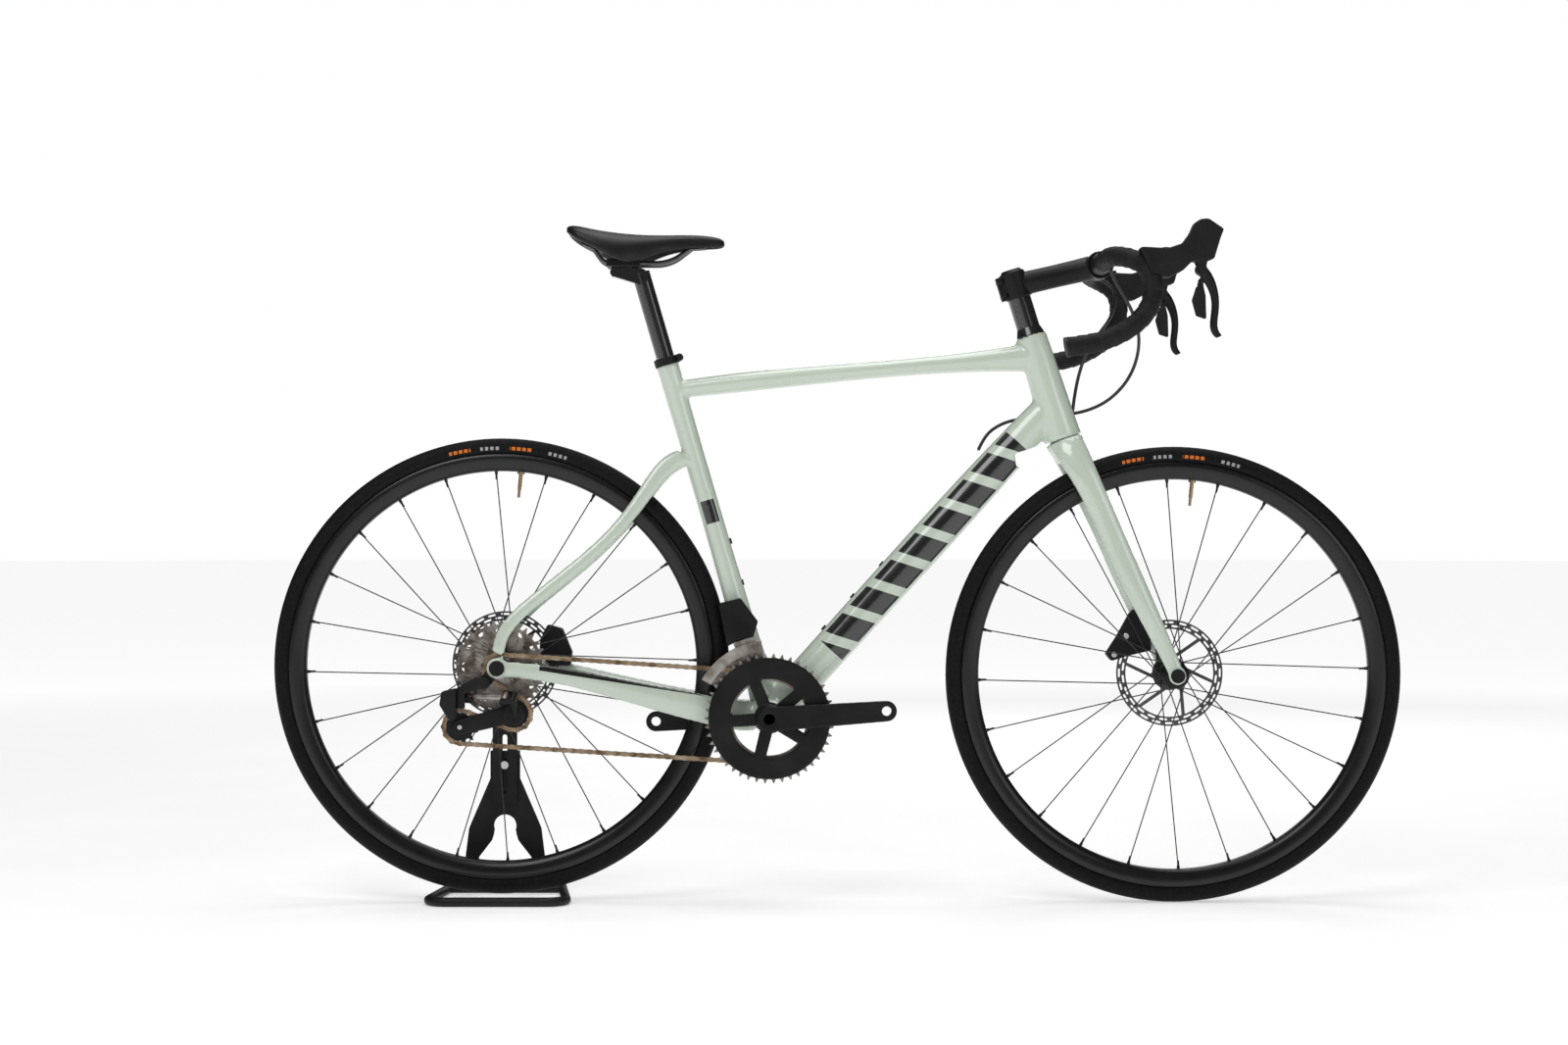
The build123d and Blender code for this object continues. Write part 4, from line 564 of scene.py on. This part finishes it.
# ---- Chain ----
# Inner and outer plates on round pins, 12.7 mm apart, laid over the small cog, the inner ring and the
# two pulleys. Steel gone golden brown with old oil and dust.
chain_steel = Finish("dusty_chain_steel", (0.3, 0.22, 0.15), Metallic=0.75, Roughness=0.48)
chain_steel.feed(Base_Color=chain_steel.ramp(chain_steel.noise(70.0, 6.0), (0.34, (0.13, 0.085, 0.05)),
                                             (0.5, (0.33, 0.235, 0.15)), (0.7, (0.5, 0.4, 0.29))),
                 Roughness=chain_steel.spread(chain_steel.noise(200.0), 0.36, 0.6))
pitch = 0.0127
cog_teeth, ring_teeth, pulley_teeth = 10, 33, 12
cog_y, ring_y = -0.0663, -0.041
straight_lead = 0.022
upper_pulley = Vector(joints["upper_pulley_spin"]["pos_m"])
lower_pulley = Vector(joints["lower_pulley_spin"]["pos_m"])


def pitch_radius(teeth):
    return pitch / (2 * sin(pi / teeth))


wheels = [(rear_axle, cog_teeth, 1, cog_y), (bottom_bracket, ring_teeth, 1, ring_y),
          (lower_pulley, pulley_teeth, 1, cog_y), (upper_pulley, pulley_teeth, -1, cog_y)]
runs = []
for first, second in zip(wheels, wheels[1:] + wheels[:1]):
    (a, teeth_a, turn_a, y_a), (b, teeth_b, turn_b, y_b) = first, second
    reach_a, reach_b = pitch_radius(teeth_a) * turn_a, pitch_radius(teeth_b) * turn_b
    span = Vector((b.x - a.x, b.z - a.z))
    heading = atan2(span.y, span.x) + asin((reach_b - reach_a) / span.length)
    normal = Vector((sin(heading), -cos(heading)))
    leave = Vector((a.x, a.z)) - reach_a * normal
    arrive = Vector((b.x, b.z)) - reach_b * normal
    runs.append((leave, arrive, y_a, y_b))
pins = []
travelled = 0.0
for i, (centre, teeth, turn, y) in enumerate(wheels):
    arrive, (leave, finish_point, y_from, y_to) = runs[i - 1][1], runs[i]
    start = degrees(atan2(arrive.y - centre.z, arrive.x - centre.x))
    end_angle = degrees(atan2(leave.y - centre.z, leave.x - centre.x))
    sweep = (turn * (start - end_angle)) % 360
    count = sweep * teeth / 360
    first = ceil(travelled) - travelled
    while first < count:
        angle = radians(start - turn * first * 360 / teeth)
        radius = pitch_radius(teeth)
        pins.append(Vector((centre.x + radius * cos(angle), y, centre.z + radius * sin(angle))))
        first += 1
    travelled += count
    length = (finish_point - leave).length
    count = length / pitch
    first = ceil(travelled) - travelled
    while first < count:
        gone = first * pitch
        share = gone / length
        slope = min(max((gone - straight_lead) / (length - 2 * straight_lead), 0), 1)
        spot = leave.lerp(finish_point, share)
        pins.append(Vector((spot.x, y_from + (y_to - y_from) * slope, spot.y)))
        first += 1
    travelled += count


def link_template(plate_inner, plate_outer):
    """One link, one pitch long along X: two waisted plates, and the pins or rollers at its start."""
    bm = bmesh.new()
    for side in (1, -1):
        outline = []
        for middle, start_angle in ((0.5, -60), (-0.5, 120)):
            for k in range(5):
                angle = radians(start_angle + 30 * k)
                outline.append((pitch * middle + 0.0041 * cos(angle), 0.0041 * sin(angle)))
            outline.append((0.0, 0.0029 if middle > 0 else -0.0029))
        verts = [bm.verts.new((x, side * plate_inner, z)) for x, z in outline]
        face = bm.faces.new(verts)
        moved = bmesh.ops.extrude_face_region(bm, geom=[face])["geom"]
        bmesh.ops.translate(bm, verts=[v for v in moved if isinstance(v, bmesh.types.BMVert)],
                            vec=(0, side * (plate_outer - plate_inner), 0))
    add_turned(bm, Vector((-pitch / 2, -plate_outer - 0.0003, 0)),
               Vector((-pitch / 2, plate_outer + 0.0003, 0)), 0.0018, 0.0018, 8)
    add_turned(bm, Vector((-pitch / 2, -plate_inner, 0)), Vector((-pitch / 2, plate_inner, 0)), 0.0036,
               0.0036, 10)
    bmesh.ops.recalc_face_normals(bm, faces=bm.faces)
    mesh = bpy.data.meshes.new("link_blank")
    bm.to_mesh(mesh)
    bm.free()
    return mesh


inner_link, outer_link = link_template(0.0011, 0.0019), link_template(0.0019, 0.0027)
bm = bmesh.new()
for i, (pin, ahead) in enumerate(zip(pins, pins[1:] + pins[:1])):
    before = len(bm.verts)
    bm.from_mesh(outer_link if i % 2 else inner_link)
    bm.verts.ensure_lookup_table()
    run = ahead - pin
    frame_x = run.normalized()
    frame_z = frame_x.cross(Vector((0, 1, 0))).normalized()
    frame_y = frame_z.cross(frame_x)
    turn = Matrix((frame_x, frame_y, frame_z)).transposed().to_4x4()
    bmesh.ops.transform(bm, matrix=Matrix.Translation((pin + ahead) / 2) @ turn, verts=bm.verts[before:])
finished("chain_links", bm, chain_steel, "bike", ("chain",), smooth=False)

# ---- Saddle cover ----
# Foam under a smooth black cover, drawn down over the shell's edge: a raised tail, wings that hang
# low at mid length, and a narrow nose with a rounded tip.
saddle_leather = Finish("saddle_leather", (0.02, 0.02, 0.02), Roughness=0.42,
                        Specular_IOR_Level=0.3)
grain = saddle_leather.node("ShaderNodeTexVoronoi", {}, {"Vector": saddle_leather.place(), "Scale": 900.0})
saddle_leather.feed(Base_Color=saddle_leather.ramp(saddle_leather.noise(26.0),
                                                   (0.3, (0.007, 0.007, 0.0075)),
                                                   (0.7, (0.013, 0.013, 0.0135))),
                    Roughness=saddle_leather.spread(saddle_leather.noise(40.0), 0.34, 0.48))
saddle_leather.bump(grain, 0.12, 0.0004)
saddle_low, saddle_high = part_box("saddle_cover")
saddle_stations = [(0.003, 40, -3, -11), (9, 59, -0.8, -19), (22, 67, -2.5, -27), (45, 70.5, -8, -38),
                   (72, 70, -12, -53), (95, 64, -14, -60), (120, 49, -15, -51), (150, 30.5, -14.5, -39),
                   (185, 22, -13.5, -34), (215, 19.5, -15.5, -33), (228, 15, -18.5, -32.5),
                   (235, 8, -22.5, -30)]
bm = bmesh.new()
loops = []
for x, half, top, edge in saddle_stations:
    drop = top - edge
    under = max(top - 12, edge - 1)
    section = [(0, top), (0.3, top - 0.3), (0.6, top - 1.6), (0.82, top - 0.2 * drop),
               (0.94, top - 0.45 * drop), (1.0, top - 0.75 * drop), (0.99, edge), (0.93, edge - 1.0),
               (0.84, edge + 0.4), (0.6, under), (0.3, under), (0, under)]
    section += [(-across, z) for across, z in section[-2:0:-1]]
    ring_verts = [bm.verts.new((saddle_low.x + x / 1000, across * half / 1000, saddle_high.z + z / 1000))
                  for across, z in section]
    loops.append([bm.edges.new(pair) for pair in zip(ring_verts, ring_verts[1:] + ring_verts[:1])])
for near, far in zip(loops, loops[1:]):
    bmesh.ops.bridge_loops(bm, edges=near + far)
for loop in (loops[0], loops[-1]):
    bmesh.ops.holes_fill(bm, edges=loop, sides=0)
bmesh.ops.recalc_face_normals(bm, faces=bm.faces)
saddle_pad = finished("saddle_pad", bm, saddle_leather, "seat", ("saddle_cover",))
rounding = saddle_pad.modifiers.new("rounding", "SUBSURF")
rounding.levels = 2
rounding.render_levels = 2

# ---- Bar tape ----
# Cushioned tape wound over the bar from beside the stem to the bar end, each turn lapping the last, so
# that a low step shows every 16 mm. Matte, with a fine dimpled face.
tape_cloth = Finish("bar_tape_cloth", (0.022, 0.022, 0.023), Roughness=0.62,
                    Specular_IOR_Level=0.2)
tape_cloth.feed(Base_Color=tape_cloth.ramp(tape_cloth.noise(60.0), (0.3, (0.007, 0.007, 0.0075)),
                                           (0.7, (0.016, 0.016, 0.0165))),
                Roughness=tape_cloth.spread(tape_cloth.noise(110.0), 0.52, 0.72))
dimples = tape_cloth.node("ShaderNodeTexVoronoi", {}, {"Vector": tape_cloth.place(), "Scale": 520.0})
tape_cloth.bump(dimples, 0.3, 0.0006)
lever_pin = Vector(joints["left_brake_lever"]["pos_m"])
bar_centre = Vector((lever_pin.x - 0.122, 0, lever_pin.z + 0.024))
bar_line = [(0, 62, 0), (0, 100, 0), (0, 150, 0), (9, 186, -2), (30, 207, -9), (49, 210, -22),
            (56, 212, -48), (50, 214, -78), (27, 216, -104), (-9, 218, -123), (-38, 219.2, -130),
            (-67, 220, -134)]


def smooth_line(points):
    """Even points along the smooth line that a few chosen points pull."""
    curve = bpy.data.curves.new("line_blank", "CURVE")
    curve.dimensions = "3D"
    spline = curve.splines.new("NURBS")
    spline.points.add(len(points) - 1)
    for spot, point in zip(spline.points, points):
        spot.co = (*point, 1)
    spline.order_u = 3
    spline.use_endpoint_u = True
    spline.resolution_u = 24
    helper = bpy.data.objects.new("line_blank", curve)
    bpy.context.scene.collection.objects.link(helper)
    mesh = baked(helper)
    bpy.data.objects.remove(helper)
    return [v.co.copy() for v in mesh.vertices]


def tube(path, radius_at, segments, step):
    """A skin round a line, whose radius follows the distance along it."""
    bm = bmesh.new()
    loops = []
    gone, wanted = 0.0, 0.0
    side = None
    for i in range(len(path) - 1):
        run = path[i + 1] - path[i]
        while wanted <= gone + run.length:
            centre = path[i] + run * ((wanted - gone) / run.length)
            heading = run.normalized()
            if side is None:
                side = heading.orthogonal().normalized()
            side = (side - heading * side.dot(heading)).normalized()
            other = heading.cross(side)
            radius = radius_at(wanted)
            angles = [2 * pi * k / segments for k in range(segments)]
            verts = [bm.verts.new(centre + (side * cos(a) + other * sin(a)) * radius) for a in angles]
            loops.append([bm.edges.new(pair) for pair in zip(verts, verts[1:] + verts[:1])])
            wanted += step
        gone += run.length
    for near, far in zip(loops, loops[1:]):
        bmesh.ops.bridge_loops(bm, edges=near + far)
    for loop in (loops[0], loops[-1]):
        bmesh.ops.holes_fill(bm, edges=loop, sides=0)
    bmesh.ops.recalc_face_normals(bm, faces=bm.faces)
    return bm


tape_turn = 0.016
tape_low, tape_lap = 0.0136, 0.0011


def tape_radius(distance):
    lap = (distance % tape_turn) / tape_turn
    return tape_low + tape_lap * lap


for side, sign in (("left", 1), ("right", -1)):
    route = [bar_centre + Vector((x, sign * y, z)) / 1000 for x, y, z in bar_line]
    finished(f"bar_tape_{side}", tube(smooth_line(route), tape_radius, 20, 0.002), tape_cloth, "steering",
             ("bar_tape",) if sign > 0 else ())

# ---- Hoods, levers and paddles ----
# Moulded rubber hoods stretched over the lever bodies, thin anodised lever blades and plastic shift
# paddles behind them.
hood_rubber = Finish("hood_rubber", (0.02, 0.02, 0.02), Roughness=0.66, Specular_IOR_Level=0.2)
hood_rubber.feed(Base_Color=hood_rubber.ramp(hood_rubber.noise(35.0), (0.3, (0.008, 0.008, 0.008)),
                                             (0.7, (0.016, 0.016, 0.0165))),
                 Roughness=hood_rubber.spread(hood_rubber.noise(90.0), 0.58, 0.76))
ribs = hood_rubber.node("ShaderNodeTexVoronoi", {}, {"Vector": hood_rubber.place(), "Scale": 420.0})
hood_rubber.bump(ribs, 0.25, 0.0005)
softened("brake_hoods", "hood_covers", hood_rubber, 0.0018, relax=6, sink=7)
for side in ("left", "right"):
    softened(f"brake_lever_{side}", f"lever_blade_{side}", satin_black, 0.0012, relax=4,
             sink=3)
    softened(f"shift_paddle_{side}", f"paddle_blade_{side}", moulded_black, 0.0008,
             relax=2, sink=2)

# ---- Brake hoses ----
# Smooth black hoses, 5 mm thick. The front one drops from the bar into the fork; the rear one loops
# forward round the head tube and enters the frame behind it, and is taken off the steering body to stay
# still.
hose_black = Finish("hose_black", (0.018, 0.018, 0.018), Roughness=0.4)
hose_black.feed(Roughness=hose_black.spread(hose_black.noise(120.0), 0.34, 0.5))
front_hose = [(10, 84, -12), (27, 78, -20), (35, 70, -42), (26, 63, -72), (6, 58, -98), (-14, 51, -128),
              (-25, 44, -158), (-32, 38, -190), (-36, 37, -222), (-38, 36, -250), (-40, 27, -272)]
rear_hose = [(8, -82, -11), (14, -72, -24), (30, -62, -48), (46, -47, -74), (57, -27, -102), (59, -4, -128),
             (54, 20, -154), (41, 38, -178), (18, 47, -200), (-12, 47, -214), (-44, 45, -220),
             (-76, 43, -222), (-108, 41, -225), (-136, 39, -231), (-158, 36, -243), (-171, 28, -259),
             (-178, 18, -273)]
hose_radius = 0.0025
for name, points in (("front", front_hose), ("rear", rear_hose)):
    route = [bar_centre + Vector(point) / 1000 for point in points]
    bm = tube(smooth_line(route), lambda distance: hose_radius, 14, 0.004)
    hose = finished(f"{name}_hose", bm, hose_black, "steering", (f"{name}_brake_hose",))
    smooth_line(route)
    if name == "rear":
        hose.parent = None
        del hose["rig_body"]
        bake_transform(hose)

# ---- Stand ----
# Steel bar and plate, welded, with a black powder coat that has a fine orange-peel skin.
powder = Finish("black_powder_coat", (0.014, 0.014, 0.014), Roughness=0.5, Specular_IOR_Level=0.3)
powder.feed(Base_Color=powder.ramp(powder.noise(20.0), (0.3, (0.006, 0.006, 0.006)),
                                   (0.7, (0.012, 0.012, 0.0125))),
            Roughness=powder.spread(powder.noise(70.0), 0.42, 0.58))
powder.bump(powder.noise(900.0), 0.3, 0.0004)
powder.put_on("stand_base", "stand_upright", "stand_post")
